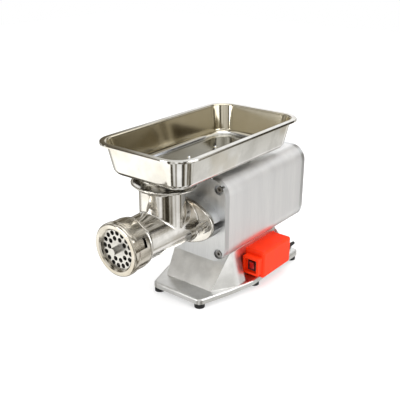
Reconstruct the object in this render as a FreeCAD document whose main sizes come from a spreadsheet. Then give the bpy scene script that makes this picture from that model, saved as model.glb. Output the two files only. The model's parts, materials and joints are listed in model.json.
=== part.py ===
"""Electric meat grinder with a size 22 head, as a parametric document.

Millimetres.  +X is the switch side, -Y is the front where the meat comes out, +Z is up.
The origin is on the bench under the middle of the machine.
"""
import FreeCAD, Part
import Sketcher

import math
import os

Vector = FreeCAD.Vector
Rotation = FreeCAD.Rotation
doc = FreeCAD.newDocument("meat_grinder")


# ---------------------------------------------------------------- driving dimensions
DIMENSIONS = {
    # overall layout
    "front_reach": 218.0,           # face of the front plate to the nose of the stud
    "housing_length": 300.0,        # face of the front plate to the back of the rear cover
    "axis_height": 179.0,           # bench to the axis of the feed screw
    "case_half_width": 90.5,
    "case_bottom": 93.0,
    "case_top": 268.0,
    "case_corner": 34.0,
    "case_wall": 4.0,
    "front_plate_thick": 14.0,
    "rear_cover_thick": 12.0,
    "close_gap": 0.3,               # gap between pieces that only pass each other
    "run_gap": 0.05,                # radial gap of a running fit
    # oval seat of the head, and the flange on the head
    "seat_half_width": 80.0,
    "seat_half_height": 48.0,
    "seat_arc": 115.0,
    "seat_proud": 20.0,
    "flange_thick": 8.0,
    "slot_half_height": 7.5,
    "slot_depth": 17.0,
    "spigot_radius": 33.0,
    "spigot_proud": 4.0,
    # head studs and their nuts
    "head_stud_offset": 63.0,
    "head_stud_radius": 5.0,
    "head_stud_length": 52.0,
    "clamp_nut_radius": 11.0,
    "clamp_nut_length": 12.0,
    "washer_radius": 12.0,
    "washer_thick": 2.0,
    # case screws
    "case_screw_x": 74.4,
    "case_screw_z": 69.0,           # above and below the middle of the case
    "case_screw_radius": 4.0,
    "case_screw_head": 6.5,
    "counterbore_radius": 10.5,
    "counterbore_depth": 8.0,
    "boss_radius": 9.0,
    # grinder head
    "head_front": 196.0,            # plate face to the front end of the head
    "thread_radius": 46.0,
    "thread_length": 30.0,
    "collar_radius": 48.5,
    "collar_length": 6.0,
    "barrel_front_radius": 43.0,
    "barrel_rear_radius": 47.0,
    "chamber_radius": 37.0,
    "knife_bay_radius": 41.2,
    "knife_bay_depth": 12.0,
    "chamber_end": 45.0,            # plate face to the rear wall of the chamber
    "neck_offset": 80.0,            # plate face to the axis of the neck
    "neck_radius": 44.5,
    "neck_top": 263.0,
    "throat_radius": 38.0,
    "funnel_offset": 76.0,
    "funnel_half_width": 68.0,
    "funnel_half_depth": 55.5,
    "funnel_top": 270.5,
    "funnel_lip": 3.0,
    "funnel_floor": 1.5,
    # ring nut
    "ring_radius": 52.0,
    "ring_front": 210.5,            # plate face to the front of the ring nut
    "ring_length": 44.2,
    "ring_lip_thick": 7.0,
    "ring_opening": 39.0,
    "ring_bevel": 2.5,
    "lug_height": 10.0,
    "lug_half_width": 11.0,
    "lug_length": 30.0,
    "lug_setback": 4.0,
    "lug_turn": 21.0,               # degrees up from +X to the first lug
    # cutting plate, knife and stud
    "plate_radius": 41.0,
    "plate_thick": 9.0,
    "plate_hole_radius": 4.7,
    "outer_hole_circle": 32.0,
    "inner_hole_circle": 21.0,
    "key_radius": 2.5,
    "knife_reach": 36.0,
    "knife_thick": 10.0,
    "knife_hub": 14.0,
    "knife_arm_half_width": 6.0,
    "stud_radius": 7.0,
    "stud_square": 12.0,
    "stud_thread_length": 24.0,
    # feed screw
    "screw_flight_radius": 36.4,
    "screw_core_radius": 15.0,
    "screw_pitch": 42.0,
    "flight_thick": 7.0,
    "screw_shank_radius": 17.05,
    "thrust_radius": 30.0,
    "thrust_thick": 2.5,
    "tang_square": 17.0,
    "tang_length": 18.0,
    # output shaft and gearbox
    "output_shaft_radius": 17.5,
    "output_shaft_front": 17.0,     # plate face forward to the front of the shaft
    "output_shaft_length": 67.0,
    "output_bearing_radius": 36.0,
    "output_bearing_width": 17.0,
    "seal_radius": 26.0,
    "seal_width": 7.0,
    "small_shaft_radius": 9.0,
    "small_bearing_radius": 16.0,
    "small_bearing_width": 9.0,
    "gearbox_wall_start": 38.0,
    "gearbox_wall_thick": 12.0,
    "pillar_radius": 8.0,
    "pillar_x": 72.0,
    "pillar_z": 50.0,
    "pillar_bore": 3.0,
    "pillar_screw_depth": 8.0,
    "slow_module": 2.0,
    "fast_module": 1.5,
    "slow_gear_start": 17.0,
    "slow_gear_width": 18.0,
    "fast_gear_start": 54.0,
    "fast_gear_width": 12.0,
    "gear_backlash": 0.12,          # taken off each flank at the pitch circle
    # motor
    "motor_front_start": 70.0,
    "motor_front_thick": 12.0,
    "stator_start": 112.0,
    "stator_length": 88.0,
    "stator_radius": 68.0,
    "stator_bore": 38.0,
    "rotor_radius": 37.4,
    "winding_length": 18.0,
    "winding_radius": 60.0,
    "motor_shaft_end": 276.0,
    "motor_bracket_start": 232.0,
    "motor_bracket_thick": 12.0,
    "motor_bracket_radius": 70.0,
    "through_bolt_radius": 2.5,
    "through_bolt_circle": 63.5,
    "fan_start": 256.0,
    "fan_width": 16.0,
    "fan_radius": 60.0,
    "fan_hub_radius": 16.0,
    # pedestal casting
    "slab_bottom": 10.0,
    "slab_top": 22.0,
    "slab_front": 46.0,             # in front of the plate face
    "slab_rear": 281.0,
    "slab_front_half": 63.0,
    "slab_waist_half": 87.0,
    "slab_waist": 30.0,
    "slab_half": 101.0,
    "slab_shoulder": 90.0,
    "slab_edge_round": 4.0,
    "slab_corner_round": 14.0,
    "pedestal_foot_front": -4.0,
    "pedestal_foot_half_front": 60.0,
    "pedestal_foot_half": 89.6,
    "pedestal_flare": 50.7,
    "pedestal_foot_rear": 262.0,
    "pedestal_top_front": 45.7,
    "pedestal_top_half": 70.5,
    "pedestal_top_rear": 218.0,
    "pedestal_wall": 7.0,
    "pedestal_roof": 8.0,
    "switch_recess_x": 70.8,
    "switch_recess_front": 78.0,
    "switch_recess_rear": 222.0,
    "pedestal_bolt_x": 48.0,
    "pedestal_bolt_front": 75.0,
    "pedestal_bolt_rear": 190.0,
    "pedestal_bolt_radius": 4.0,
    # feet
    "foot_radius": 11.0,
    "foot_height": 8.8,
    "foot_screw_radius": 2.5,
    "foot_front_x": 54.0,
    "foot_front_y": -34.0,
    "foot_side_x": 88.5,
    "foot_middle_y": 113.0,
    "foot_rear_y": 265.0,
    "cover_sheet": 1.2,
    # switch box
    "box_outer_x": 118.0,
    "box_front": 103.0,
    "box_rear": 212.0,
    "box_bottom": 25.0,
    "box_top": 86.0,
    "box_wall": 2.5,
    "box_round": 6.0,
    "box_back_thick": 2.5,
    "hood_inner_x": 74.5,
    "hood_outer_x": 113.5,
    "hood_bottom": 35.5,
    "hood_top": 75.0,
    "hood_proud": 15.0,
    "hood_wall": 5.0,
    "hood_recess": 9.0,
    "rocker_half_width": 6.5,
    "rocker_half_height": 9.5,
    "rocker_tilt": 8.0,             # degrees that the rocker leans at rest
    "switch_body_depth": 22.0,
    "gland_x": 102.0,
    "gland_z": 50.0,
    "gland_radius": 8.5,
    "gland_length": 14.0,
    "gland_tail": 21.0,
    # feed tray
    "tray_half_width": 112.0,
    "tray_front": 155.6,            # in front of the plate face
    "tray_rear": 249.6,
    "tray_top": 350.0,
    "tray_floor": 284.5,
    "tray_sheet": 1.5,
    "tray_flange": 11.5,
    "tray_taper": 11.5,
    "tray_corner": 38.0,
    "tray_floor_round": 12.0,
    "tray_roll": 4.0,
    "spout_top_radius": 47.5,
    "spout_foot_radius": 38.5,
    "spout_foot": 265.5,
    "strap_half_length": 60.0,
    "strap_width": 44.0,
    "strap_sheet": 2.0,
    "strap_front": 0.0,
    "strap_rear": 112.0,
    "rest_button_x": 48.0,
    "rest_button_front": 8.0,
    "rest_button_rear": 146.0,
    "rest_button_height": 10.0,
    "rest_button_radius": 5.0,
    "rivet_x": 27.0,
    "rivet_front": 34.0,
    "rivet_rear": 122.0,
    "rivet_radius": 2.5,
}

sheet = doc.addObject("Spreadsheet::Sheet", "sizes")
for row, (alias, number) in enumerate(DIMENSIONS.items(), 1):
    sheet.set(f"A{row}", alias)
    sheet.set(f"B{row}", str(number))
    sheet.setAlias(f"B{row}", alias)
doc.recompute()


class Size:
    """A length that knows both its formula in the sheet and its present value."""

    def __init__(self, formula, value):
        self.formula = formula
        self.value = float(value)

    def __add__(self, other):
        other = as_size(other)
        return Size(f"({self.formula} + {other.formula})", self.value + other.value)

    def __sub__(self, other):
        other = as_size(other)
        return Size(f"({self.formula} - {other.formula})", self.value - other.value)

    def __mul__(self, other):
        other = as_size(other)
        return Size(f"({self.formula} * {other.formula})", self.value * other.value)

    def __truediv__(self, other):
        other = as_size(other)
        return Size(f"({self.formula} / {other.formula})", self.value / other.value)

    def __radd__(self, other):
        return as_size(other) + self

    def __rsub__(self, other):
        return as_size(other) - self

    def __rmul__(self, other):
        return as_size(other) * self

    def __neg__(self):
        return as_size(0) - self

    def __float__(self):
        return self.value


def as_size(number):
    return number if isinstance(number, Size) else Size(repr(float(number)), number)


class Sizes:
    """The cells by name: S.ring_radius is the cell ring_radius."""

    def __getattr__(self, alias):
        return Size(f"sizes.{alias}", DIMENSIONS[alias])


S = Sizes()
FACE = (S.front_reach - S.housing_length) / 2      # y of the front plate's face
AXIS = S.axis_height
CASE_MIDDLE = (S.case_bottom + S.case_top) / 2
ALONG_X = Rotation(Vector(0, 1, 0), 90)
ALONG_Y = Rotation(Vector(1, 0, 0), -90)
ALONG_Z = Rotation()

SLOW_PINION, SLOW_GEAR = 15, 39
FAST_PINION, FAST_GEAR = 14, 40
COUNTER_ANGLE = -60.0                              # from the output axis to the countershaft


# ---------------------------------------------------------------- building helpers
nodes = []


def node(label, thing):
    """Name a finished piece; its label is also its file's name."""
    thing.Label = label
    nodes.append(thing)
    return thing


def place(thing, at, turn=ALONG_Z):
    thing.Placement = FreeCAD.Placement(Vector(), turn)
    for letter, where in zip("xyz", at):
        thing.setExpression(f"Placement.Base.{letter}", as_size(where).formula)
    return thing


def primitive(kind, at, turn=ALONG_Z, **measures):
    thing = doc.addObject(f"Part::{kind}", kind.lower())
    for name, measure in measures.items():
        thing.setExpression(name, as_size(measure).formula)
    return place(thing, at, turn)


def rod_y(radius, start, length, x=0, z=AXIS):
    """A cylinder along +Y; start counts from the face of the front plate."""
    return primitive("Cylinder", (x, FACE + start, z), ALONG_Y, Radius=radius, Height=length)


def rod_z(radius, start, length, x, y):
    return primitive("Cylinder", (x, FACE + y, start), ALONG_Z, Radius=radius, Height=length)


def rod_x(radius, start, length, y, z):
    return primitive("Cylinder", (start, FACE + y, z), ALONG_X, Radius=radius, Height=length)


def block(x_from, x_to, y_from, y_to, z_from, z_to):
    """A box between two corners; y counts from the face of the front plate."""
    lengths = {"Length": x_to - as_size(x_from), "Width": y_to - as_size(y_from),
               "Height": z_to - as_size(z_from)}
    return primitive("Box", (x_from, FACE + y_from, z_from), **lengths)


def cut(base, *tools):
    piece = doc.addObject("Part::Cut", "cut")
    piece.Base = base
    piece.Tool = tools[0] if len(tools) == 1 else fuse(*tools)
    return piece


def fuse(*parts):
    piece = doc.addObject("Part::MultiFuse", "fuse")
    piece.Shapes = list(parts)
    return piece


def common(*parts):
    piece = doc.addObject("Part::MultiCommon", "common")
    piece.Shapes = list(parts)
    return piece


def group(*parts):
    """Several separate solids in one node."""
    piece = doc.addObject("Part::Compound", "group")
    piece.Links = list(parts)
    return piece


def tube_y(outer, inner, start, length, x=0, z=AXIS):
    bore = rod_y(inner, start - S.close_gap, length + 2 * S.close_gap, x, z)
    return cut(rod_y(outer, start, length, x, z), bore)


def softened(base, radius, wanted):
    """Round the edges of a piece that the test picks."""
    doc.recompute()
    picked = [(i, float(radius), float(radius))
              for i, edge in enumerate(base.Shape.Edges, 1) if wanted(edge)]
    piece = doc.addObject("Part::Fillet", "softened")
    piece.Base = base
    piece.Edges = picked
    return piece


def is_along(axis):
    """A test for straight edges that run along one axis."""
    def test(edge):
        if not isinstance(edge.Curve, (Part.Line, Part.LineSegment)):
            return False
        span = edge.BoundBox
        lengths = {"x": span.XLength, "y": span.YLength, "z": span.ZLength}
        across = sum(length for name, length in lengths.items() if name != axis)
        return across < 1e-6 < lengths[axis]
    return test


def new_body(name, at=(0, 0, 0), turn=ALONG_Z):
    return place(doc.addObject("PartDesign::Body", name), at, turn)


def new_sketch(body, plane, lift=0):
    """A sketch on one of the body's own origin planes, lifted along its normal."""
    sketch = body.newObject("Sketcher::SketchObject", f"{body.Name}_sketch")
    support = next(item for item in body.Origin.OriginFeatures if item.Role == plane)
    sketch.AttachmentSupport = [(support, "")]
    sketch.MapMode = "FlatFace"
    sketch.setExpression("AttachmentOffset.Base.z", as_size(lift).formula)
    return sketch


def draw_outline(sketch, points):
    """A closed outline of straight lines whose corners are held by their cells."""
    corners = [(as_size(u), as_size(v)) for u, v in points]
    spots = [Vector(float(u), float(v), 0) for u, v in corners]
    first = sketch.GeometryCount
    for here, there in zip(spots, spots[1:] + spots[:1]):
        sketch.addGeometry(Part.LineSegment(here, there), False)
    count = len(spots)
    for i, (u, v) in enumerate(corners):
        sketch.addConstraint(Sketcher.Constraint(
            "Coincident", first + i, 2, first + (i + 1) % count, 1))
        for kind, size in (("DistanceX", u), ("DistanceY", v)):
            index = sketch.addConstraint(
                Sketcher.Constraint(kind, -1, 1, first + i, 1, float(size)))
            sketch.setExpression(f"Constraints[{index}]", size.formula)
    return sketch


def pad(body, sketch, length, reverse=False):
    feature = body.newObject("PartDesign::Pad", "pad")
    feature.Profile = sketch
    feature.setExpression("Length", as_size(length).formula)
    feature.Reversed = reverse
    return feature


def prism_y(name, points, start, length):
    """A body whose outline is drawn in X and Z and runs along +Y."""
    body = new_body(name, (0, FACE, 0))
    sketch = draw_outline(new_sketch(body, "XZ_Plane", -as_size(start)), points)
    pad(body, sketch, length, reverse=True)
    return body


def prism_z(name, points, start, length):
    """A body whose outline is drawn in X and Y (from the plate's face) and stands up."""
    body = new_body(name, (0, FACE, 0))
    sketch = draw_outline(new_sketch(body, "XY_Plane", start), points)
    pad(body, sketch, length)
    return body


def turned(name, profile, x=0, z=AXIS):
    """A body turned about an axis along Y; the profile gives (y, radius)."""
    body = new_body(name, (x, FACE, z))
    sketch = draw_outline(new_sketch(body, "YZ_Plane"), profile)
    spin = body.newObject("PartDesign::Revolution", "spin")
    spin.Profile = sketch
    spin.ReferenceAxis = (sketch, ["H_Axis"])
    spin.Angle = 360.0
    return body


def around(piece, count, at=(0, 0), start=0.0):
    """Copies of a piece about an axis along Y through x and z."""
    copies = []
    for i in range(count):
        copy = doc.addObject("Part::Compound", "turned_copy")
        copy.Links = [piece]
        centre = Vector(float(at[0]), 0, float(at[1]))
        turn = Rotation(Vector(0, 1, 0), -(start + 360.0 * i / count))
        copy.Placement = FreeCAD.Placement(centre - turn.multVec(centre), turn)
        copies.append(copy)
    return copies


def rectangle(half_width, low, high):
    return [(-half_width, low), (half_width, low), (half_width, high), (-half_width, high)]


def rounded_prism_y(name, half_width, low, high, radius, start, length):
    outline = rectangle(as_size(half_width), low, high)
    return softened(prism_y(name, outline, start, length), radius, is_along("y"))


def oval_plate(start, length):
    """The two-eared oval of the head's seat: two large arcs with rounded ears."""
    centre = S.seat_arc - S.seat_half_height
    lens = common(rod_y(S.seat_arc, start, length, 0, AXIS - centre),
                  rod_y(S.seat_arc, start, length, 0, AXIS + centre))
    big, half_width = float(S.seat_arc), float(S.seat_half_width)
    offset = (float(centre) ** 2 - (big - half_width) ** 2) / (2 * (big - half_width))
    return softened(lens, half_width - offset, is_along("y"))


def case_corners(radius, start, length):
    """Rods on the four case-screw places."""
    return [rod_y(radius, start, length, x, z)
            for x in (-S.case_screw_x, S.case_screw_x)
            for z in (CASE_MIDDLE - S.case_screw_z, CASE_MIDDLE + S.case_screw_z)]


def pillar_places():
    return [(x, z) for x in (-S.pillar_x, S.pillar_x)
            for z in (CASE_MIDDLE - S.pillar_z, CASE_MIDDLE + S.pillar_z)]


def socket_screw(radius, head_radius, head_length, length, tip, x, z, facing=1):
    """A cap screw along Y whose head ends at tip; facing 1 points its thread to +Y."""
    if facing > 0:
        head_start, shank_start = tip, tip + head_length
    else:
        head_start, shank_start = tip - head_length, tip - head_length - length
    head = rod_y(head_radius, head_start, head_length, x, z)
    shank = rod_y(radius, shank_start, length, x, z)
    reach = head_length / 2
    socket = primitive("Prism", (x, FACE + (tip if facing > 0 else tip - reach), z), ALONG_Y,
                       Circumradius=head_radius * 0.55, Height=reach)
    socket.Polygon = 6
    return cut(fuse(head, shank), socket)


# ---------------------------------------------------------------- gears
def involute(angle):
    return math.tan(angle) - angle


def gear_outline(teeth, module, backlash):
    """A closed spur-gear wire in X and Z with a tooth on +X; 25 degree teeth."""
    pressure = math.radians(25)
    pitch = module * teeth / 2
    base = pitch * math.cos(pressure)
    tip, root = pitch + 0.9 * module, pitch - 1.15 * module
    half_tooth = math.pi / (2 * teeth) - backlash / pitch + involute(pressure)
    foot = max(base, root)
    half_foot = half_tooth - involute(math.acos(base / foot))

    def spot(radius, side, centre):
        angle = centre + side * (half_tooth - involute(math.acos(min(1.0, base / radius))))
        return Vector(radius * math.cos(angle), 0, radius * math.sin(angle))

    def polar(radius, angle):
        return Vector(radius * math.cos(angle), 0, radius * math.sin(angle))

    edges = []
    steps = 5
    radii = [foot + (tip - foot) * i / steps for i in range(steps + 1)]
    step = 2 * math.pi / teeth
    for i in range(teeth):
        centre = i * step
        rising = [spot(radius, -1, centre) for radius in radii]
        falling = [spot(radius, 1, centre) for radius in reversed(radii)]
        low, high = polar(root, centre - half_foot), polar(root, centre + half_foot)
        flank_up, flank_down = Part.BSplineCurve(), Part.BSplineCurve()
        flank_up.interpolate(rising)
        flank_down.interpolate(falling)
        if root < base:
            edges.append(Part.LineSegment(low, rising[0]).toShape())
        edges.append(flank_up.toShape())
        edges.append(Part.Arc(rising[-1], polar(tip, centre), falling[0]).toShape())
        edges.append(flank_down.toShape())
        if root < base:
            edges.append(Part.LineSegment(falling[-1], high).toShape())
        next_low = polar(root, centre + step - half_foot)
        edges.append(Part.Arc(high, polar(root, centre + step / 2), next_low).toShape())
    return Part.Wire(edges)


def gear(label, teeth, module, bore, start, width, x, z, tooth_at):
    """A spur gear along Y with one tooth at an angle from +X towards +Z, in degrees."""
    wire = gear_outline(teeth, float(module), float(S.gear_backlash))
    blank = Part.Face(wire).extrude(Vector(0, float(width), 0))
    if bore:
        hole = Part.makeCylinder(float(bore), float(width) + 2, Vector(0, -1, 0), Vector(0, 1, 0))
        blank = blank.cut(hole)
    piece = doc.addObject("Part::Feature", label)
    piece.Shape = blank
    return place(piece, (x, FACE + start, z), Rotation(Vector(0, 1, 0), -tooth_at))


# ---------------------------------------------------------------- pedestal and feet
def slab_half_outline(inset=0.0):
    return [(S.slab_front_half - inset, -S.slab_front + inset),
            (S.slab_waist_half - inset, S.slab_waist),
            (S.slab_half - inset, S.slab_shoulder),
            (S.slab_half - inset, S.slab_rear - inset)]


def mirrored(half):
    return half + [(-as_size(x), y) for x, y in reversed(half)]


def pedestal_loft(name, inset, bottom, top):
    """The tapering pedestal, or the hollow inside it."""
    small = 0.02
    foot = [(S.pedestal_foot_half_front - inset, S.pedestal_foot_front + inset),
            (S.pedestal_foot_half - inset, S.pedestal_flare + inset),
            (S.pedestal_foot_half - inset, S.pedestal_foot_rear - inset)]
    edge_x = (S.pedestal_foot_half - S.pedestal_foot_half_front) * small
    edge_y = (S.pedestal_flare - S.pedestal_foot_front) * small
    crown = [(S.pedestal_top_half - inset - edge_x, S.pedestal_top_front + inset),
             (S.pedestal_top_half - inset, S.pedestal_top_front + inset + edge_y),
             (S.pedestal_top_half - inset, S.pedestal_top_rear - inset)]
    body = new_body(name, (0, FACE, 0))
    low = draw_outline(new_sketch(body, "XY_Plane", bottom), mirrored(foot))
    high = draw_outline(new_sketch(body, "XY_Plane", top), mirrored(crown))
    loft = body.newObject("PartDesign::AdditiveLoft", "loft")
    loft.Profile = low
    loft.Sections = [(high, [""])]
    loft.Ruled = True
    return body


def foot_places():
    places = []
    for x, y in ((S.foot_front_x, S.foot_front_y), (S.foot_side_x, S.foot_middle_y),
                 (S.foot_side_x, S.foot_rear_y)):
        places += [(x, y), (-x, y)]
    return places


def pedestal_bolt_places():
    return [(x, y) for x in (-S.pedestal_bolt_x, S.pedestal_bolt_x)
            for y in (S.pedestal_bolt_front, S.pedestal_bolt_rear)]


slab = prism_z("slab", mirrored(slab_half_outline()), S.slab_bottom, S.slab_top - S.slab_bottom)
slab = softened(slab, S.slab_corner_round, is_along("z"))
slab_top = float(S.slab_top)
slab = softened(slab, S.slab_edge_round,
                lambda edge: abs(edge.BoundBox.ZMin - slab_top) < 1e-6
                and abs(edge.BoundBox.ZMax - slab_top) < 1e-6)
hill = pedestal_loft("hill", 0.0, S.slab_top, S.case_bottom)
roof_under = S.case_bottom - S.pedestal_roof
hollow = pedestal_loft("hollow", S.pedestal_wall, S.slab_top, roof_under)
hollow_foot = [(x - S.pedestal_wall, y) for x, y in (
    (S.pedestal_foot_half_front, S.pedestal_foot_front + S.pedestal_wall),
    (S.pedestal_foot_half, S.pedestal_flare + S.pedestal_wall),
    (S.pedestal_foot_half, S.pedestal_foot_rear - S.pedestal_wall))]
hollow_low = prism_z("hollow_low", mirrored(hollow_foot), S.slab_bottom - 1,
                     S.slab_top - S.slab_bottom + 1)
recess = block(S.switch_recess_x, S.slab_half * 2, S.switch_recess_front,
               S.switch_recess_rear, S.slab_top, S.case_bottom)
recess_wall = block(S.switch_recess_x - S.pedestal_wall, S.switch_recess_x,
                    S.switch_recess_front - S.pedestal_wall,
                    S.switch_recess_rear + S.pedestal_wall, S.slab_top, roof_under + 1)
recess_front = block(S.switch_recess_x, S.pedestal_foot_half,
                     S.switch_recess_front - S.pedestal_wall, S.switch_recess_front,
                     S.slab_top, roof_under)
recess_back = block(S.switch_recess_x, S.pedestal_foot_half, S.switch_recess_rear,
                    S.switch_recess_rear + S.pedestal_wall, S.slab_top, roof_under)
floor_lip = block(S.switch_recess_x - S.pedestal_wall, S.pedestal_foot_half,
                  S.switch_recess_front - S.pedestal_wall,
                  S.switch_recess_rear + S.pedestal_wall, S.slab_bottom, S.slab_top)
hill_again = pedestal_loft("hill_again", 0.0, S.slab_top, S.case_bottom)
webs = common(fuse(recess_wall, recess_front, recess_back), hill_again)
shell = cut(fuse(slab, hill), hollow, hollow_low)
shell = cut(fuse(shell, webs, floor_lip), recess)
holes = [rod_z(S.pedestal_bolt_radius, roof_under - 1, S.pedestal_roof + 2, x, y)
         for x, y in pedestal_bolt_places()]
holes += [rod_z(S.foot_screw_radius, S.slab_bottom - 1, S.slab_top - S.slab_bottom - 2, x, y)
          for x, y in foot_places()]
cable_hole = rod_x(6.0, S.switch_recess_x - S.pedestal_wall - 1, S.pedestal_wall + 2,
                   S.box_front + 30, (S.box_bottom + S.box_top) / 2)
node("pedestal", cut(shell, *holes, cable_hole))

foot_solids, foot_screws = [], []
for x, y in foot_places():
    rubber = rod_z(S.foot_radius, 0, S.foot_height, x, y)
    sink = rod_z(S.foot_screw_radius * 2, -1, S.foot_height / 2 + 1, x, y)
    hole = rod_z(S.foot_screw_radius, -1, S.foot_height + 2, x, y)
    foot_solids.append(cut(rubber, sink, hole))
    screw_head = rod_z(S.foot_screw_radius * 1.8, S.foot_height / 2 - 2.5, 2.5, x, y)
    shank = rod_z(S.foot_screw_radius, S.foot_height / 2,
                  S.slab_top - 4 - S.foot_height / 2, x, y)
    foot_screws.append(fuse(screw_head, shank))
node("rubber_feet", group(*foot_solids))
node("foot_screws", group(*foot_screws))
cover = prism_z("cover", mirrored(slab_half_outline(3.0)), S.slab_bottom - S.cover_sheet,
                S.cover_sheet)
node("base_cover", cut(cover, *[rod_z(S.foot_screw_radius, 0, S.slab_bottom + 1, x, y)
                                for x, y in foot_places()]))
bolts = []
for x, y in pedestal_bolt_places():
    bolt_head = rod_z(S.pedestal_bolt_radius * 1.7, roof_under - 6, 6, x, y)
    shank = rod_z(S.pedestal_bolt_radius, roof_under, S.pedestal_roof + S.case_wall, x, y)
    bolts.append(fuse(bolt_head, shank))
node("pedestal_bolts", group(*bolts))

# ---------------------------------------------------------------- motor housing
sleeve_length = S.housing_length - S.front_plate_thick - S.rear_cover_thick
sleeve_outer = rounded_prism_y("sleeve_outer", S.case_half_width, S.case_bottom, S.case_top,
                               S.case_corner, S.front_plate_thick, sleeve_length)
sleeve_inner = rounded_prism_y("sleeve_inner", S.case_half_width - S.case_wall,
                               S.case_bottom + S.case_wall, S.case_top - S.case_wall,
                               S.case_corner - S.case_wall, S.front_plate_thick - 1,
                               sleeve_length + 2)
sleeve_again = rounded_prism_y("sleeve_again", S.case_half_width, S.case_bottom, S.case_top,
                               S.case_corner, S.front_plate_thick, sleeve_length)
bosses = common(fuse(*case_corners(S.boss_radius, S.front_plate_thick, sleeve_length)),
                sleeve_again)
sleeve = cut(fuse(cut(sleeve_outer, sleeve_inner), bosses),
             *case_corners(S.case_screw_radius, S.front_plate_thick - 1, sleeve_length + 2),
             *[rod_z(S.pedestal_bolt_radius, S.case_bottom - 1, S.case_wall + 2, x, y)
               for x, y in pedestal_bolt_places()])
rest_holes = [rod_z(S.rest_button_radius / 2, S.case_top - S.case_wall - 1, S.case_wall + 2,
                    x, S.rest_button_rear) for x in (-S.rest_button_x, S.rest_button_x)]
node("motor_housing", cut(sleeve, *rest_holes))

plate_block = rounded_prism_y("plate_block", S.case_half_width, S.case_bottom, S.case_top,
                              S.case_corner, 0, S.front_plate_thick)
seat = oval_plate(-S.seat_proud, S.seat_proud)
spigot = rod_y(S.spigot_radius, -S.seat_proud - S.spigot_proud, S.spigot_proud + 1)
plate_tools = [
    rod_y(S.output_shaft_radius + 1, -S.seat_proud - S.spigot_proud - 1, 60),
    rod_y(S.seal_radius, -S.seal_width - 4, S.seal_width + 5),
    rod_y(S.output_bearing_radius, S.front_plate_thick - S.output_bearing_width,
          S.output_bearing_width + 1)]
plate_tools += case_corners(S.case_screw_radius + 0.5, -1, S.front_plate_thick + 2)
plate_tools += case_corners(S.counterbore_radius, -1, S.counterbore_depth + 1)
for side in (-1, 1):
    inner = S.head_stud_offset - S.slot_depth / 2
    x_pair = (inner, S.case_half_width) if side > 0 else (-S.case_half_width, -inner)
    plate_tools.append(block(x_pair[0], x_pair[1], -S.seat_proud - 1, 0,
                             AXIS - S.slot_half_height, AXIS + S.slot_half_height))
    plate_tools.append(rod_y(S.head_stud_radius, -1, S.front_plate_thick - 3,
                             side * S.head_stud_offset))
    plate_tools.append(rod_z(S.rest_button_radius / 2, S.case_top - 10, 12,
                             side * S.rest_button_x, S.rest_button_front))
lean = math.radians(COUNTER_ANGLE)
slow_span = S.slow_module * ((SLOW_PINION + SLOW_GEAR) / 2)
fast_span = S.fast_module * ((FAST_PINION + FAST_GEAR) / 2)
COUNTER_X = slow_span * math.cos(lean)
COUNTER_Z = AXIS + slow_span * math.sin(lean)
MOTOR_X = (slow_span - fast_span) * math.cos(lean)
MOTOR_Z = AXIS + (slow_span - fast_span) * math.sin(lean)
plate_tools += [rod_y(S.pillar_bore, S.front_plate_thick - S.pillar_screw_depth - 1,
                      S.pillar_screw_depth + 2, x, z) for x, z in pillar_places()]
plate_tools.append(rod_y(S.small_bearing_radius, S.front_plate_thick - S.small_bearing_width,
                         S.small_bearing_width + 1, COUNTER_X, COUNTER_Z))
node("front_plate", cut(fuse(plate_block, seat, spigot), *plate_tools))

node("front_plate_screws", group(*[
    socket_screw(S.case_screw_radius, S.case_screw_head, 6, 26, 2.0, x, z)
    for x in (-S.case_screw_x, S.case_screw_x)
    for z in (CASE_MIDDLE - S.case_screw_z, CASE_MIDDLE + S.case_screw_z)]))

back = S.housing_length - S.rear_cover_thick
rear_block = rounded_prism_y("rear_block", S.case_half_width, S.case_bottom, S.case_top,
                             S.case_corner, back, S.rear_cover_thick)
rear_tools = case_corners(S.case_screw_radius + 0.5, back - 1, S.rear_cover_thick + 2)
rear_tools += case_corners(S.case_screw_head + 0.6, S.housing_length - 7, 8)
rear_tools.append(rounded_prism_y("rear_pocket", S.case_half_width - 2 * S.boss_radius,
                                  S.case_bottom + 2 * S.boss_radius,
                                  S.case_top - 2 * S.boss_radius, 20.0, back - 1,
                                  S.rear_cover_thick - 3))
vent_count, vent_half_width, vent_half_height, vent_pitch = 7, 45.0, 2.5, 13.0
for i in range(vent_count):
    height = CASE_MIDDLE + (i - (vent_count - 1) / 2) * vent_pitch
    rear_tools.append(block(-vent_half_width, vent_half_width, back, S.housing_length + 1,
                            height - vent_half_height, height + vent_half_height))
node("rear_cover", cut(rear_block, *rear_tools))
node("rear_cover_screws", group(*[
    socket_screw(S.case_screw_radius, S.case_screw_head, 6, 24, S.housing_length - 1, x, z, -1)
    for x in (-S.case_screw_x, S.case_screw_x)
    for z in (CASE_MIDDLE - S.case_screw_z, CASE_MIDDLE + S.case_screw_z)]))

# ---------------------------------------------------------------- gearbox
node("oil_seal", tube_y(S.seal_radius, S.output_shaft_radius + S.run_gap,
                        -S.seal_width - 4, S.seal_width))
node("output_bearing_front", tube_y(S.output_bearing_radius, S.output_shaft_radius + S.run_gap,
                                    S.front_plate_thick - S.output_bearing_width,
                                    S.output_bearing_width))
node("output_bearing_rear", tube_y(S.output_bearing_radius - 6,
                                   S.output_shaft_radius + S.run_gap,
                                   S.gearbox_wall_start, S.gearbox_wall_thick))
shaft = rod_y(S.output_shaft_radius, -S.output_shaft_front, S.output_shaft_length)
half_socket = S.tang_square / 2 + 0.15
socket = block(-half_socket, half_socket, -S.output_shaft_front - 1,
               S.tang_length - S.output_shaft_front + 1, AXIS - half_socket, AXIS + half_socket)
node("output_shaft", cut(shaft, socket))
node("output_gear", gear("output_gear", SLOW_GEAR, S.slow_module, S.output_shaft_radius,
                         S.slow_gear_start, S.slow_gear_width, 0, AXIS, COUNTER_ANGLE))

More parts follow.
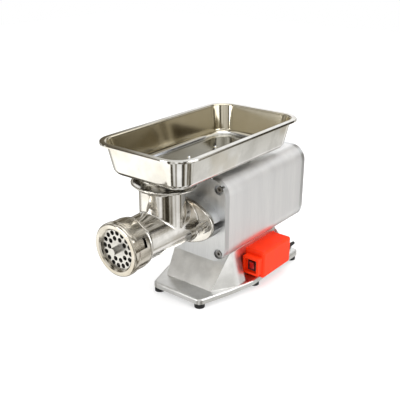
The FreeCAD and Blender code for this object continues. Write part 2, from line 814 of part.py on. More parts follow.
counter_start = S.front_plate_thick - S.small_bearing_width
counter_end = S.motor_front_start + S.small_bearing_width
counter_shaft = rod_y(S.small_shaft_radius, counter_start, counter_end - counter_start,
                      COUNTER_X, COUNTER_Z)
slow_pinion = gear("slow_pinion", SLOW_PINION, S.slow_module, 0, S.slow_gear_start - 1,
                   S.slow_gear_width + 2, COUNTER_X, COUNTER_Z,
                   COUNTER_ANGLE + 180 + 180 / SLOW_PINION)
node("countershaft", fuse(counter_shaft, slow_pinion))
node("countershaft_gear", gear("countershaft_gear", FAST_GEAR, S.fast_module,
                               S.small_shaft_radius, S.fast_gear_start, S.fast_gear_width,
                               COUNTER_X, COUNTER_Z, COUNTER_ANGLE + 180))
for label, start in (("countershaft_bearing_front", counter_start),
                     ("countershaft_bearing_rear", S.motor_front_start)):
    node(label, tube_y(S.small_bearing_radius, S.small_shaft_radius + S.run_gap, start,
                       S.small_bearing_width, COUNTER_X, COUNTER_Z))


def inner_wall(name, start, thick):
    """A wall across the inside of the case, relieved at the corner bosses."""
    wall = rounded_prism_y(name, S.case_half_width - S.case_wall - S.close_gap,
                           S.case_bottom + S.case_wall + S.close_gap,
                           S.case_top - S.case_wall - S.close_gap, S.case_corner, start, thick)
    holes = case_corners(S.boss_radius + 1, start - 1, thick + 2)
    holes += [rod_y(S.pillar_bore, start - 1, thick + 2, x, z) for x, z in pillar_places()]
    return cut(wall, *holes)


wall_end = S.gearbox_wall_start + S.gearbox_wall_thick
node("gearbox_wall", cut(
    inner_wall("gearbox_wall_block", S.gearbox_wall_start, S.gearbox_wall_thick),
    rod_y(S.output_bearing_radius - 6, S.gearbox_wall_start - 1, S.gearbox_wall_thick + 2),
    rod_y(S.small_shaft_radius + 2, S.gearbox_wall_start - 1, S.gearbox_wall_thick + 2,
          COUNTER_X, COUNTER_Z)))
motor_front_end = S.motor_front_start + S.motor_front_thick
node("motor_front_bracket", cut(
    inner_wall("motor_front_block", S.motor_front_start, S.motor_front_thick),
    rod_y(S.small_bearing_radius, S.motor_front_start - 1, S.small_bearing_width + 1,
          COUNTER_X, COUNTER_Z),
    rod_y(S.small_bearing_radius, S.motor_front_start + 3, S.motor_front_thick, MOTOR_X,
          MOTOR_Z),
    rod_y(S.small_shaft_radius + 1, S.motor_front_start - 1, S.motor_front_thick, MOTOR_X,
          MOTOR_Z),
    *around(rod_y(S.through_bolt_radius + 0.2, S.motor_front_start - 1,
                  S.motor_front_thick + 2, MOTOR_X + S.through_bolt_circle, MOTOR_Z), 4,
            (MOTOR_X, MOTOR_Z), 45.0)))
pillars = []
for start, end in ((S.front_plate_thick, S.gearbox_wall_start),
                   (wall_end, S.motor_front_start)):
    pillars += [cut(rod_y(S.pillar_radius, start, end - start, x, z),
                    rod_y(S.pillar_bore, start - 1, end - start + 2, x, z))
                for x, z in pillar_places()]
node("gearbox_pillars", group(*pillars))
node("gearbox_screws", group(*[
    socket_screw(S.pillar_bore - 0.1, 5.0, 5,
                 motor_front_end - S.front_plate_thick + S.pillar_screw_depth,
                 motor_front_end + 5, x, z, -1) for x, z in pillar_places()]))

# ---------------------------------------------------------------- motor
node("motor_bearing_front", tube_y(S.small_bearing_radius, S.small_shaft_radius + S.run_gap,
                                   S.motor_front_start + 3, S.small_bearing_width,
                                   MOTOR_X, MOTOR_Z))
node("motor_bearing_rear", tube_y(S.small_bearing_radius, S.small_shaft_radius + S.run_gap,
                                  S.motor_bracket_start + 2, S.small_bearing_width,
                                  MOTOR_X, MOTOR_Z))
motor_shaft_start = S.fast_gear_start - 1
motor_pinion = gear("motor_pinion", FAST_PINION, S.fast_module, 0, S.fast_gear_start,
                    S.fast_gear_width, MOTOR_X, MOTOR_Z, COUNTER_ANGLE + 180 / FAST_PINION)
node("rotor_shaft", fuse(
    rod_y(S.small_shaft_radius - 3, motor_shaft_start, S.motor_front_start - motor_shaft_start,
          MOTOR_X, MOTOR_Z),
    rod_y(S.small_shaft_radius, S.motor_front_start, S.motor_shaft_end - S.motor_front_start,
          MOTOR_X, MOTOR_Z), motor_pinion))
node("rotor_core", tube_y(S.rotor_radius, S.small_shaft_radius, S.stator_start,
                          S.stator_length, MOTOR_X, MOTOR_Z))
bolt_holes = around(rod_y(S.through_bolt_radius + 0.2, S.stator_start - 1,
                          S.stator_length + 2, MOTOR_X + S.through_bolt_circle, MOTOR_Z), 4,
                    (MOTOR_X, MOTOR_Z), 45.0)
node("stator_core", cut(tube_y(S.stator_radius, S.stator_bore, S.stator_start,
                               S.stator_length, MOTOR_X, MOTOR_Z), *bolt_holes))
for label, start in (("end_winding_front", S.stator_start - S.winding_length),
                     ("end_winding_rear", S.stator_start + S.stator_length)):
    coil = turned(label + "_coil", [
        (start, S.stator_bore + 3), (start, S.winding_radius - 3),
        (start + S.winding_length / 2, S.winding_radius),
        (start + S.winding_length, S.winding_radius - 3),
        (start + S.winding_length, S.stator_bore + 3)], MOTOR_X, MOTOR_Z)
    node(label, coil)
bracket_disc = rod_y(S.motor_bracket_radius, S.motor_bracket_start, S.motor_bracket_thick,
                     MOTOR_X, MOTOR_Z)
bracket_tools = [
    rod_y(S.small_bearing_radius, S.motor_bracket_start + 2, S.motor_bracket_thick, MOTOR_X,
          MOTOR_Z),
    rod_y(S.small_shaft_radius + 1, S.motor_bracket_start - 1, S.motor_bracket_thick, MOTOR_X,
          MOTOR_Z)]
bracket_tools += around(rod_y(S.through_bolt_radius + 0.2, S.motor_bracket_start - 1,
                              S.motor_bracket_thick + 2, MOTOR_X + S.through_bolt_circle,
                              MOTOR_Z), 4, (MOTOR_X, MOTOR_Z), 45.0)
bracket_tools += around(rod_y(12, S.motor_bracket_start - 1, S.motor_bracket_thick + 2,
                              MOTOR_X + 40, MOTOR_Z), 4, (MOTOR_X, MOTOR_Z))
node("motor_rear_bracket", cut(bracket_disc, *bracket_tools))
bolt = fuse(rod_y(S.through_bolt_radius, S.motor_front_start,
                  S.motor_bracket_start + S.motor_bracket_thick - S.motor_front_start,
                  MOTOR_X + S.through_bolt_circle, MOTOR_Z),
            rod_y(S.through_bolt_radius * 1.8, S.motor_bracket_start + S.motor_bracket_thick,
                  3, MOTOR_X + S.through_bolt_circle, MOTOR_Z))
node("motor_through_bolts", group(*around(bolt, 4, (MOTOR_X, MOTOR_Z), 45.0)))

fan_hub = rod_y(S.fan_hub_radius, S.fan_start, S.fan_width, MOTOR_X, MOTOR_Z)
fan_plate = rod_y(S.fan_radius, S.fan_start, 2, MOTOR_X, MOTOR_Z)
blade = block(MOTOR_X + S.fan_hub_radius - 1, MOTOR_X + S.fan_radius - 1, S.fan_start + 1,
              S.fan_start + S.fan_width, MOTOR_Z - 1, MOTOR_Z + 1)
fan_blades = 9
node("cooling_fan", cut(fuse(fan_hub, fan_plate, *around(blade, fan_blades,
                                                         (MOTOR_X, MOTOR_Z))),
                        rod_y(S.small_shaft_radius, S.fan_start - 1, S.fan_width + 2,
                              MOTOR_X, MOTOR_Z)))

# run capacitor, strapped under the roof of the hollow pedestal
CAPACITOR_RADIUS, CAPACITOR_LENGTH, CAPACITOR_START = 18.0, 74.0, 100.0
capacitor_z = S.case_bottom - S.pedestal_roof - CAPACITOR_RADIUS - 1.2
node("run_capacitor", fuse(
    rod_y(CAPACITOR_RADIUS, CAPACITOR_START, CAPACITOR_LENGTH, 0, capacitor_z),
    rod_y(3, CAPACITOR_START + CAPACITOR_LENGTH, 8, -7, capacitor_z),
    rod_y(3, CAPACITOR_START + CAPACITOR_LENGTH, 8, 7, capacitor_z)))
band = tube_y(CAPACITOR_RADIUS + 1.8, CAPACITOR_RADIUS + 0.2, CAPACITOR_START + 28, 16, 0,
              capacitor_z)
band_ears = block(-30, 30, CAPACITOR_START + 28, CAPACITOR_START + 44, roof_under - 1.8,
                  roof_under)
band_room = rod_y(CAPACITOR_RADIUS + 0.2, CAPACITOR_START + 20, 32, 0, capacitor_z)
band_trim = block(-40, 40, CAPACITOR_START + 20, CAPACITOR_START + 52, roof_under,
                  roof_under + 10)
node("capacitor_clip", cut(fuse(band, band_ears), band_room, band_trim))

# ---------------------------------------------------------------- switch box
box_hull = block(S.switch_recess_x + S.box_back_thick + 0.2, S.box_outer_x, S.box_front,
                 S.box_rear, S.box_bottom, S.box_top)
outer_x = float(S.box_outer_x)
box_round = softened(box_hull, S.box_round,
                     lambda edge: edge.BoundBox.XMin > outer_x - 1e-6
                     or (is_along("x")(edge)))
box_room = block(S.switch_recess_x, S.box_outer_x - S.box_wall, S.box_front + S.box_wall,
                 S.box_rear - S.box_wall, S.box_bottom + S.box_wall, S.box_top - S.box_wall)
hood = softened(block(S.hood_inner_x, S.hood_outer_x, S.box_front - S.hood_proud,
                      S.box_front + 1, S.hood_bottom, S.hood_top), 2.5, is_along("y"))
hood_room = block(S.hood_inner_x + S.hood_wall, S.hood_outer_x - S.hood_wall,
                  S.box_front - S.hood_proud - 1, S.box_front - S.hood_proud + S.hood_recess,
                  S.hood_bottom + S.hood_wall, S.hood_top - S.hood_wall)
HOOD_X = (S.hood_inner_x + S.hood_outer_x) / 2
HOOD_Z = (S.hood_bottom + S.hood_top) / 2
switch_face = S.box_front - S.hood_proud + S.hood_recess
body_half_width, body_half_height = S.rocker_half_width + 1.7, S.rocker_half_height + 2
body_hole = block(HOOD_X - body_half_width, HOOD_X + body_half_width, switch_face - 1,
                  S.box_front + S.box_wall + 1, HOOD_Z - body_half_height,
                  HOOD_Z + body_half_height)
gland_hole = rod_y(S.gland_radius - 1.5, S.box_rear - S.box_wall - 1, S.box_wall + 2,
                   S.gland_x, S.gland_z)
node("switch_box", cut(fuse(box_round, hood), box_room, hood_room, body_hole, gland_hole))
node("switch_box_back", cut(
    block(S.switch_recess_x + 0.2, S.switch_recess_x + S.box_back_thick + 0.2, S.box_front,
          S.box_rear, S.box_bottom, S.box_top),
    rod_x(6.0, S.switch_recess_x, S.box_back_thick + 1, S.box_front + 30,
          (S.box_bottom + S.box_top) / 2)))
bezel = block(HOOD_X - body_half_width - 2, HOOD_X + body_half_width + 2, switch_face - 2,
              switch_face, HOOD_Z - body_half_height - 1.5, HOOD_Z + body_half_height + 1.5)
switch_can = block(HOOD_X - body_half_width + 0.2, HOOD_X + body_half_width - 0.2,
                   switch_face, switch_face + S.switch_body_depth,
                   HOOD_Z - body_half_height + 0.2, HOOD_Z + body_half_height - 0.2)
well = block(HOOD_X - S.rocker_half_width - 0.4, HOOD_X + S.rocker_half_width + 0.4,
             switch_face - 3, switch_face + 9, HOOD_Z - S.rocker_half_height - 1.1,
             HOOD_Z + S.rocker_half_height + 1.1)
ROCKER_Y = switch_face + 1.5
pivot_hole = rod_x(1.5 + S.run_gap, HOOD_X - S.rocker_half_width - 1,
                   S.rocker_half_width * 2 + 2, ROCKER_Y, HOOD_Z)
node("switch_body", cut(fuse(bezel, switch_can), well, pivot_hole))
cap = block(HOOD_X - S.rocker_half_width, HOOD_X + S.rocker_half_width, switch_face - 4.5,
            switch_face + 4, HOOD_Z - S.rocker_half_height, HOOD_Z + S.rocker_half_height)
dish = rod_x(42, HOOD_X - S.rocker_half_width - 1, S.rocker_half_width * 2 + 2,
             switch_face - 3.4 - 42, HOOD_Z)
pivot = rod_x(1.5, HOOD_X - S.rocker_half_width - 0.9, S.rocker_half_width * 2 + 1.8,
              ROCKER_Y, HOOD_Z)
window = block(HOOD_X - S.rocker_half_width + 1.5, HOOD_X + S.rocker_half_width - 1.5,
               switch_face - 6, switch_face, HOOD_Z - S.rocker_half_height + 2,
               HOOD_Z + S.rocker_half_height - 2)
lens_seat = rod_x(43.2, HOOD_X - S.rocker_half_width - 1, S.rocker_half_width * 2 + 2,
                  switch_face - 3.4 - 42, HOOD_Z)


def leaning(piece):
    """The piece leant about the rocker's pivot."""
    holder = doc.addObject("Part::Compound", "leaning")
    holder.Links = [piece]
    centre = Vector(0, float(FACE + ROCKER_Y), float(HOOD_Z))
    turn = Rotation(Vector(1, 0, 0), float(S.rocker_tilt))
    holder.Placement = FreeCAD.Placement(centre - turn.multVec(centre), turn)
    return holder


rocker = cut(fuse(cut(cap, dish), pivot), common(window, lens_seat))
lens = cut(common(window, lens_seat, cap), dish)
node("rocker", leaning(rocker))
node("rocker_lens", leaning(lens))

hex_gland = primitive("Prism", (S.gland_x, FACE + S.box_rear, S.gland_z), ALONG_Y,
                      Circumradius=S.gland_radius + 1.5, Height=5)
hex_gland.Polygon = 6
gland_thread = rod_y(S.gland_radius - 1.7, S.box_rear - 9, 9, S.gland_x, S.gland_z)
gland_bore = rod_y(2.5, S.box_rear - 10, 60, S.gland_x, S.gland_z)
gland_collar = rod_y(S.gland_radius - 2, S.box_rear + 5, S.gland_length - 5, S.gland_x,
                     S.gland_z)
node("cable_gland", cut(fuse(hex_gland, gland_thread, gland_collar), gland_bore))
dome = turned("dome", [
    (S.box_rear + 6, S.gland_radius - 1.9), (S.box_rear + 6, S.gland_radius),
    (S.box_rear + S.gland_length, S.gland_radius),
    (S.box_rear + S.gland_length + 5, S.gland_radius - 3),
    (S.box_rear + S.gland_length + 5, 3), (S.box_rear + S.gland_length + 0.2, 3),
    (S.box_rear + S.gland_length + 0.2, S.gland_radius - 1.9)], S.gland_x, S.gland_z)
tail_start = S.box_rear + S.gland_length + 5
tail = turned("tail", [(tail_start - 1, 2.6), (tail_start - 1, 5), (tail_start, 5),
                       (tail_start + S.gland_tail, 3.4), (tail_start + S.gland_tail, 2.6)],
              S.gland_x, S.gland_z)
node("gland_nut", fuse(dome, tail))
lock_nut = primitive("Prism", (S.gland_x, FACE + S.box_rear - S.box_wall - 4, S.gland_z),
                     ALONG_Y, Circumradius=S.gland_radius + 0.5, Height=4)
lock_nut.Polygon = 6
node("gland_lock_nut", cut(lock_nut, rod_y(S.gland_radius - 1.6, S.box_rear - 10, 9,
                                           S.gland_x, S.gland_z)))
terminal_x = S.switch_recess_x + S.box_back_thick + 0.2
terminal_ways = 4
terminal_base = block(terminal_x, terminal_x + 8, S.box_front + 45, S.box_front + 85,
                      S.box_bottom + 22, S.box_bottom + 40)
ways = [rod_x(3, terminal_x + 5, 4, S.box_front + 50 + 10 * i, S.box_bottom + 31)
        for i in range(terminal_ways)]
node("terminal_block", cut(terminal_base, *ways))

# ---------------------------------------------------------------- grinder head
barrel = turned("barrel", [
    (-S.head_front, 0), (-S.head_front, S.thread_radius),
    (-S.head_front + S.thread_length, S.thread_radius),
    (-S.head_front + S.thread_length, S.collar_radius),
    (-S.head_front + S.thread_length + S.collar_length, S.collar_radius),
    (-S.head_front + S.thread_length + S.collar_length, S.barrel_front_radius),
    (-S.seat_proud - S.flange_thick, S.barrel_rear_radius), (-S.seat_proud, S.barrel_rear_radius),
    (-S.seat_proud, 0)])
flange = oval_plate(-S.seat_proud - S.flange_thick, S.flange_thick)
neck = rod_z(S.neck_radius, AXIS, S.neck_top - AXIS, 0, -S.neck_offset)


def ring_at(half_width, half_depth, offset, height):
    curve = doc.addObject("Part::Ellipse", "ring")
    curve.setExpression("MajorRadius", as_size(half_width).formula)
    curve.setExpression("MinorRadius", as_size(half_depth).formula)
    return place(curve, (0, FACE - offset, height))


def funnel(low, high):
    loft = doc.addObject("Part::Loft", "funnel")
    loft.Sections = [ring_at(*low), ring_at(*high)]
    loft.Solid = True
    loft.Ruled = True
    return loft


lip_bottom = S.funnel_top - S.funnel_lip
mouth_bottom = S.neck_top + S.funnel_floor
cone = funnel((S.neck_radius + 0.6, S.neck_radius + 0.5, S.neck_offset, S.neck_top),
              (S.funnel_half_width, S.funnel_half_depth, S.funnel_offset, lip_bottom))
lip = funnel((S.funnel_half_width, S.funnel_half_depth, S.funnel_offset, lip_bottom),
             (S.funnel_half_width + 0.5, S.funnel_half_depth + 0.5, S.funnel_offset,
              S.funnel_top))
mouth = funnel((S.throat_radius + 0.6, S.throat_radius + 0.5, S.neck_offset, mouth_bottom),
               (S.funnel_half_width - 2.5, S.funnel_half_depth - 2.5, S.funnel_offset,
                S.funnel_top + 0.5))
throat = rod_z(S.throat_radius, AXIS, mouth_bottom - AXIS + 1, 0, -S.neck_offset)
chamber = rod_y(S.chamber_radius, -S.head_front - 1, S.head_front + 1 - S.chamber_end)
knife_bay = rod_y(S.knife_bay_radius, -S.head_front - 1, S.knife_bay_depth + 1)
shank_bore = rod_y(S.screw_shank_radius + S.run_gap, -S.chamber_end - 1, S.chamber_end)
spigot_room = rod_y(S.spigot_radius + 0.1, -S.seat_proud - S.spigot_proud - 0.5,
                    S.spigot_proud + 1)
stud_holes = [rod_y(S.head_stud_radius + 0.5, -S.seat_proud - S.flange_thick - 1,
                    S.flange_thick + 2, x) for x in (-S.head_stud_offset, S.head_stud_offset)]
key_z = AXIS + S.knife_bay_radius
plate_front = S.ring_front - S.ring_lip_thick - S.close_gap
plate_rear = plate_front - S.plate_thick
key_hole = rod_y(S.key_radius, -S.head_front - 1, 9, 0, key_z)
casting = fuse(barrel, flange, neck, cone, lip)
for tool in (mouth, throat, chamber, knife_bay, shank_bore, spigot_room, key_hole):
    casting = cut(casting, tool)
node("grinder_head", cut(casting, *stud_holes))
node("plate_key_pin", rod_y(S.key_radius, -plate_front + 1, plate_front + 7 - S.head_front,
                            0, key_z))

# ---------------------------------------------------------------- cutting set
holes = []
for count, circle in ((16, S.outer_hole_circle), (10, S.inner_hole_circle)):
    hole = rod_y(S.plate_hole_radius, -plate_front - 1, S.plate_thick + 2, circle)
    holes += around(hole, count, (0, AXIS))
plate_disc = rod_y(S.plate_radius, -plate_front, S.plate_thick)
node("cutting_plate", cut(
    plate_disc, rod_y(S.stud_radius + S.run_gap, -plate_front - 1, S.plate_thick + 2),
    rod_y(S.key_radius + 0.2, -plate_front - 1, S.plate_thick + 2, 0, key_z), *holes))

knife_front = plate_rear - S.close_gap
knife_rear = knife_front - S.knife_thick
half_square = S.stud_square / 2
arm = block(0, S.knife_reach, -knife_front, -knife_rear, AXIS - S.knife_arm_half_width,
            AXIS + S.knife_arm_half_width)
swing = rod_y(S.knife_reach, -knife_front, S.knife_thick)
square_hole = block(-half_square - 0.1, half_square + 0.1, -knife_front - 1, -knife_rear + 1,
                    AXIS - half_square - 0.1, AXIS + half_square + 0.1)
knife_hub = rod_y(S.knife_hub, -knife_front, S.knife_thick)
node("cross_knife", cut(fuse(common(fuse(*around(arm, 4, (0, AXIS))), swing), knife_hub),
                        square_hole))
square = block(-half_square, half_square, -knife_front, -knife_rear, AXIS - half_square,
               AXIS + half_square)
nose = rod_y(S.stud_radius, -S.front_reach, S.front_reach - knife_front)
thread = rod_y(S.stud_radius, -knife_rear, S.stud_thread_length)
node("screw_stud", fuse(nose, square, thread))

# ---------------------------------------------------------------- feed screw
flight_start = knife_rear
flange_front = S.chamber_end + S.thrust_thick + S.close_gap + 5
core = turned("core", [
    (-flight_start, 0), (-flight_start, S.screw_core_radius - 3),
    (-flange_front, S.screw_core_radius + 7), (-flange_front, S.thrust_radius),
    (-S.chamber_end - S.thrust_thick - S.close_gap, S.thrust_radius),
    (-S.chamber_end - S.thrust_thick - S.close_gap, S.screw_shank_radius),
    (-S.seat_proud, S.screw_shank_radius), (-S.seat_proud, 0)])
half_tang = S.tang_square / 2
tang = block(-half_tang, half_tang, -S.seat_proud, S.tang_length - S.output_shaft_front - 0.5,
             AXIS - half_tang, AXIS + half_tang)


def flight_sweep():
    """The helical flight: a flat-crowned blade swept along a helix about +Z."""
    height = float(flight_start - flange_front) - float(S.flight_thick)
    inner, outer = float(S.screw_core_radius) - 6, float(S.screw_flight_radius)
    half = float(S.flight_thick) / 2
    helix = Part.makeHelix(float(S.screw_pitch), height, outer)
    corners = [Vector(inner, 0, -half), Vector(outer, 0, -half * 0.6),
               Vector(outer, 0, half * 0.6), Vector(inner, 0, half)]
    profile = Part.makePolygon(corners + corners[:1])
    return Part.Wire(helix).makePipeShell([profile], True, True)


flight = doc.addObject("Part::Feature", "flight")
flight.Shape = flight_sweep()
place(flight, (0, FACE - flight_start + S.flight_thick / 2, AXIS), ALONG_Y)
stud_room = rod_y(S.stud_radius, -flight_start - 1, S.stud_thread_length + 1)
screw_solid = cut(fuse(core, flight, tang), stud_room)
node("feed_screw", screw_solid)
node("thrust_washer", tube_y(S.thrust_radius, S.screw_shank_radius + 0.3,
                             -S.chamber_end - S.thrust_thick, S.thrust_thick))

# ---------------------------------------------------------------- ring nut
ring_back = S.ring_front - S.ring_length
ring = turned("ring", [
    (-S.ring_front, S.ring_opening), (-S.ring_front, S.ring_radius),
    (-ring_back - 3, S.ring_radius), (-ring_back, S.ring_radius - 2),
    (-ring_back, S.thread_radius + S.close_gap),
    (-S.ring_front + S.ring_lip_thick, S.thread_radius + S.close_gap),
    (-S.ring_front + S.ring_lip_thick, S.ring_opening - S.ring_bevel)])
lug_from = S.ring_radius - 3
lug_block = new_body("lug_block", (0, FACE, AXIS))
lug_sketch = draw_outline(
    new_sketch(lug_block, "XZ_Plane", S.ring_front - S.lug_setback),
    [(lug_from, -S.lug_half_width), (S.ring_radius + S.lug_height, -S.lug_half_width * 0.6),
     (S.ring_radius + S.lug_height, S.lug_half_width * 0.6), (lug_from, S.lug_half_width)])
pad(lug_block, lug_sketch, S.lug_length, reverse=True)
lug_count = 3
lugs = around(lug_block, lug_count, (0, AXIS), float(S.lug_turn))
node("ring_nut", fuse(ring, *lugs))

# ---------------------------------------------------------------- head studs, washers, nuts
stud_end = S.head_stud_length - S.front_plate_thick + 6
washer_start = -S.seat_proud - S.flange_thick - S.washer_thick
nut_start = washer_start - S.clamp_nut_length
sides = {"left": -S.head_stud_offset, "right": S.head_stud_offset}
node("head_studs", group(*[rod_y(S.head_stud_radius, -stud_end, S.head_stud_length, x)
                           for x in sides.values()]))
node("head_washers", group(*[tube_y(S.washer_radius, S.head_stud_radius + 0.4, washer_start,
                                    S.washer_thick, x) for x in sides.values()]))
for side, x in sides.items():
    knob = tube_y(S.clamp_nut_radius, S.head_stud_radius + S.close_gap,
                  nut_start - S.close_gap, S.clamp_nut_length, x)
    grips = around(rod_y(2.5, nut_start - 2, S.clamp_nut_length + 4,
                         x + S.clamp_nut_radius + 1.2), 8, (x, AXIS))
    node(f"clamp_nut_{side}", cut(knob, *grips))

# ---------------------------------------------------------------- feed tray
def rounded_ring(step, corner, height):
    """A wire round the tray, step inside its rim, with rounded corners."""
    sketch = doc.addObject("Sketcher::SketchObject", "outline")
    place(sketch, (0, FACE, height))
    inside = step + corner
    draw_outline(sketch, rectangle_xy(S.tray_half_width - inside, -S.tray_front + inside,
                                      S.tray_rear - inside))
    ring = doc.addObject("Part::Offset2D", "rounded_ring")
    ring.Source = sketch
    ring.setExpression("Value", corner.formula)
    ring.Join = 0
    return ring


def pan_form(shrink, floor, top):
    """The tapering pan; shrink takes it inwards by the sheet."""
    slope = S.tray_taper / (S.tray_top - S.tray_floor)
    rings = []
    for height in (floor, top):
        step = S.tray_flange + slope * (S.tray_top - height) + shrink
        rings.append(rounded_ring(step, S.tray_corner - shrink, height))
    loft = doc.addObject("Part::Loft", "pan")
    loft.Sections = rings
    loft.Solid = True
    loft.Ruled = True
    low_z = float(floor)
    return softened(loft, S.tray_floor_round - shrink,
                    lambda edge: abs(edge.BoundBox.ZMax - low_z) < 1e-4)


def rectangle_xy(half_width, front, rear):
    return [(-half_width, front), (half_width, front), (half_width, rear), (-half_width, rear)]


def rounded_tile(name, inset, corner, floor, height):
    outline = rectangle_xy(S.tray_half_width - inset, -S.tray_front + inset,
                           S.tray_rear - inset)
    return softened(prism_z(name, outline, floor, height), corner, is_along("z"))


tray_outer = pan_form(0.0, S.tray_floor, S.tray_top)
tray_inner = pan_form(S.tray_sheet, S.tray_floor + S.tray_sheet, S.tray_top + 0.2)
rim_corner = S.tray_corner + S.tray_flange - 2
rim = rounded_tile("rim", 0.0, rim_corner, S.tray_top - S.tray_roll, S.tray_roll)
rim_under = rounded_tile("rim_under", S.tray_sheet, rim_corner - S.tray_sheet,
                         S.tray_top - S.tray_roll - 1, S.tray_roll + 1 - S.tray_sheet)
spout_length = S.tray_floor + S.tray_floor_round - S.spout_foot
spout = primitive("Cone", (0, FACE - S.neck_offset, S.spout_foot), Height=spout_length,
                  Radius1=S.spout_foot_radius, Radius2=S.spout_top_radius)
spout_room = primitive("Cone", (0, FACE - S.neck_offset, S.spout_foot), Height=spout_length,
                       Radius1=S.spout_foot_radius - S.tray_sheet,
                       Radius2=S.spout_top_radius - S.tray_sheet)
tray_rivet_holes = [rod_z(S.rivet_radius, S.tray_floor - 1, S.tray_sheet + 2, x, y)
                    for x in (-S.rivet_x, S.rivet_x) for y in (S.rivet_front, S.rivet_rear)]
node("feed_tray", cut(fuse(tray_outer, cut(rim, rim_under), spout), tray_inner, spout_room,
                      *tray_rivet_holes))

straps = []
strap_low = S.tray_floor - S.strap_sheet
strap_foot_z = S.case_top + S.rest_button_height + S.close_gap
for front, rivet_y in ((S.strap_front, S.rivet_front), (S.strap_rear, S.rivet_rear)):
    knee = S.rivet_x + 9
    toe = knee + 5
    strap = prism_y("strap", [
        (-S.strap_half_length, strap_foot_z), (-toe, strap_foot_z), (-knee, strap_low),
        (knee, strap_low), (toe, strap_foot_z), (S.strap_half_length, strap_foot_z),
        (S.strap_half_length, strap_foot_z + S.strap_sheet),
        (toe - 1, strap_foot_z + S.strap_sheet), (knee - 1, S.tray_floor),
        (1 - knee, S.tray_floor), (1 - toe, strap_foot_z + S.strap_sheet),
        (-S.strap_half_length, strap_foot_z + S.strap_sheet)], front, S.strap_width)
    straps.append(cut(strap, *[rod_z(S.rivet_radius, strap_low - 1, S.strap_sheet + 2, x,
                                     rivet_y) for x in (-S.rivet_x, S.rivet_x)]))
node("tray_support_straps", group(*straps))
rivets = []
for x in (-S.rivet_x, S.rivet_x):
    for y in (S.rivet_front, S.rivet_rear):
        head = primitive("Sphere", (x, FACE + y, S.tray_floor + S.tray_sheet - 1.5),
                         Radius=S.rivet_radius * 1.9)
        head_room = rod_z(S.rivet_radius * 3, S.tray_floor + S.tray_sheet, 6, x, y)
        shank = rod_z(S.rivet_radius, strap_low - 1.5, S.strap_sheet + S.tray_sheet + 2, x, y)
        tail_head = rod_z(S.rivet_radius * 1.8, strap_low - 1.5, 1.5, x, y)
        rivets.append(fuse(common(head, head_room), shank, tail_head))
node("strap_rivets", group(*rivets))
buttons = []
for x in (-S.rest_button_x, S.rest_button_x):
    for y in (S.rest_button_front, S.rest_button_rear):
        buttons.append(fuse(
            rod_z(S.rest_button_radius, S.case_top, S.rest_button_height, x, y),
            rod_z(S.rest_button_radius / 2, S.case_top - S.case_wall + 0.1, S.case_wall, x, y)))
node("tray_rest_buttons", group(*buttons))

# ---------------------------------------------------------------- check and write
doc.recompute()
for item in doc.Objects:
    bad = {"Invalid", "Error"} & set(item.State)
    if bad:
        raise RuntimeError(f"{item.Name} ({item.Label}) failed: {item.State}")
for piece in nodes:
    shape = piece.Shape
    if shape.isNull() or not shape.isValid() or not shape.Solids:
        raise RuntimeError(f"{piece.Label} has no valid solid")
if len({piece.Label for piece in nodes}) != len(nodes):
    raise RuntimeError("two nodes share a label")

os.makedirs("parts", exist_ok=True)
for piece in nodes:
    piece.Shape.exportStep(f"parts/{piece.Label}.step")
    box = piece.Shape.BoundBox
    print(f"{piece.Label:28s} solids {len(piece.Shape.Solids):2d}"
          f"  x {box.XMin:7.1f} {box.XMax:7.1f}  y {box.YMin:7.1f} {box.YMax:7.1f}"
          f"  z {box.ZMin:7.1f} {box.ZMax:7.1f}")
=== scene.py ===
"""Looks of the electric meat grinder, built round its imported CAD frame.  Metres."""

import json
import math

import bpy
from mathutils import Matrix, Vector


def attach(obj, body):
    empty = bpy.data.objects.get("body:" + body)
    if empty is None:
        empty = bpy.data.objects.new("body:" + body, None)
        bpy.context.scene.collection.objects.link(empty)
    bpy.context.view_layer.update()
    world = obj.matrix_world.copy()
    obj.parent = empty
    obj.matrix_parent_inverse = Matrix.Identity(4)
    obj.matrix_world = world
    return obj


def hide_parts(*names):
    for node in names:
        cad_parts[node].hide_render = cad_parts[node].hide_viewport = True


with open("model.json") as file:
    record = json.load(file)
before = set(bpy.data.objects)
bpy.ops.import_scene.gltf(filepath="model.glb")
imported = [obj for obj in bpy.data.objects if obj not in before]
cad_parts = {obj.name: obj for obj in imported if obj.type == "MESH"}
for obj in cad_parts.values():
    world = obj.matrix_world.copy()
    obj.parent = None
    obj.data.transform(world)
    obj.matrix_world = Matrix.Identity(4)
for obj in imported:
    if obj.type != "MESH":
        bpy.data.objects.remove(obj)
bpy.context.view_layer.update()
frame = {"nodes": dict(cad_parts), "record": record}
scene = bpy.context.scene


# ------------------------------------------------------------------ camera and view
SENSOR = 36.0
camera_data = bpy.data.cameras.new("camera")
camera_data.sensor_width = SENSOR
camera_data.lens = 58.58
camera = bpy.data.objects.new("camera", camera_data)
camera.location = (0.7711, -0.9767, 0.7045)
camera.rotation_euler = (math.radians(67.82), 0.0, math.radians(38.45))
scene.collection.objects.link(camera)
scene.camera = camera
scene.view_settings.view_transform = "Standard"


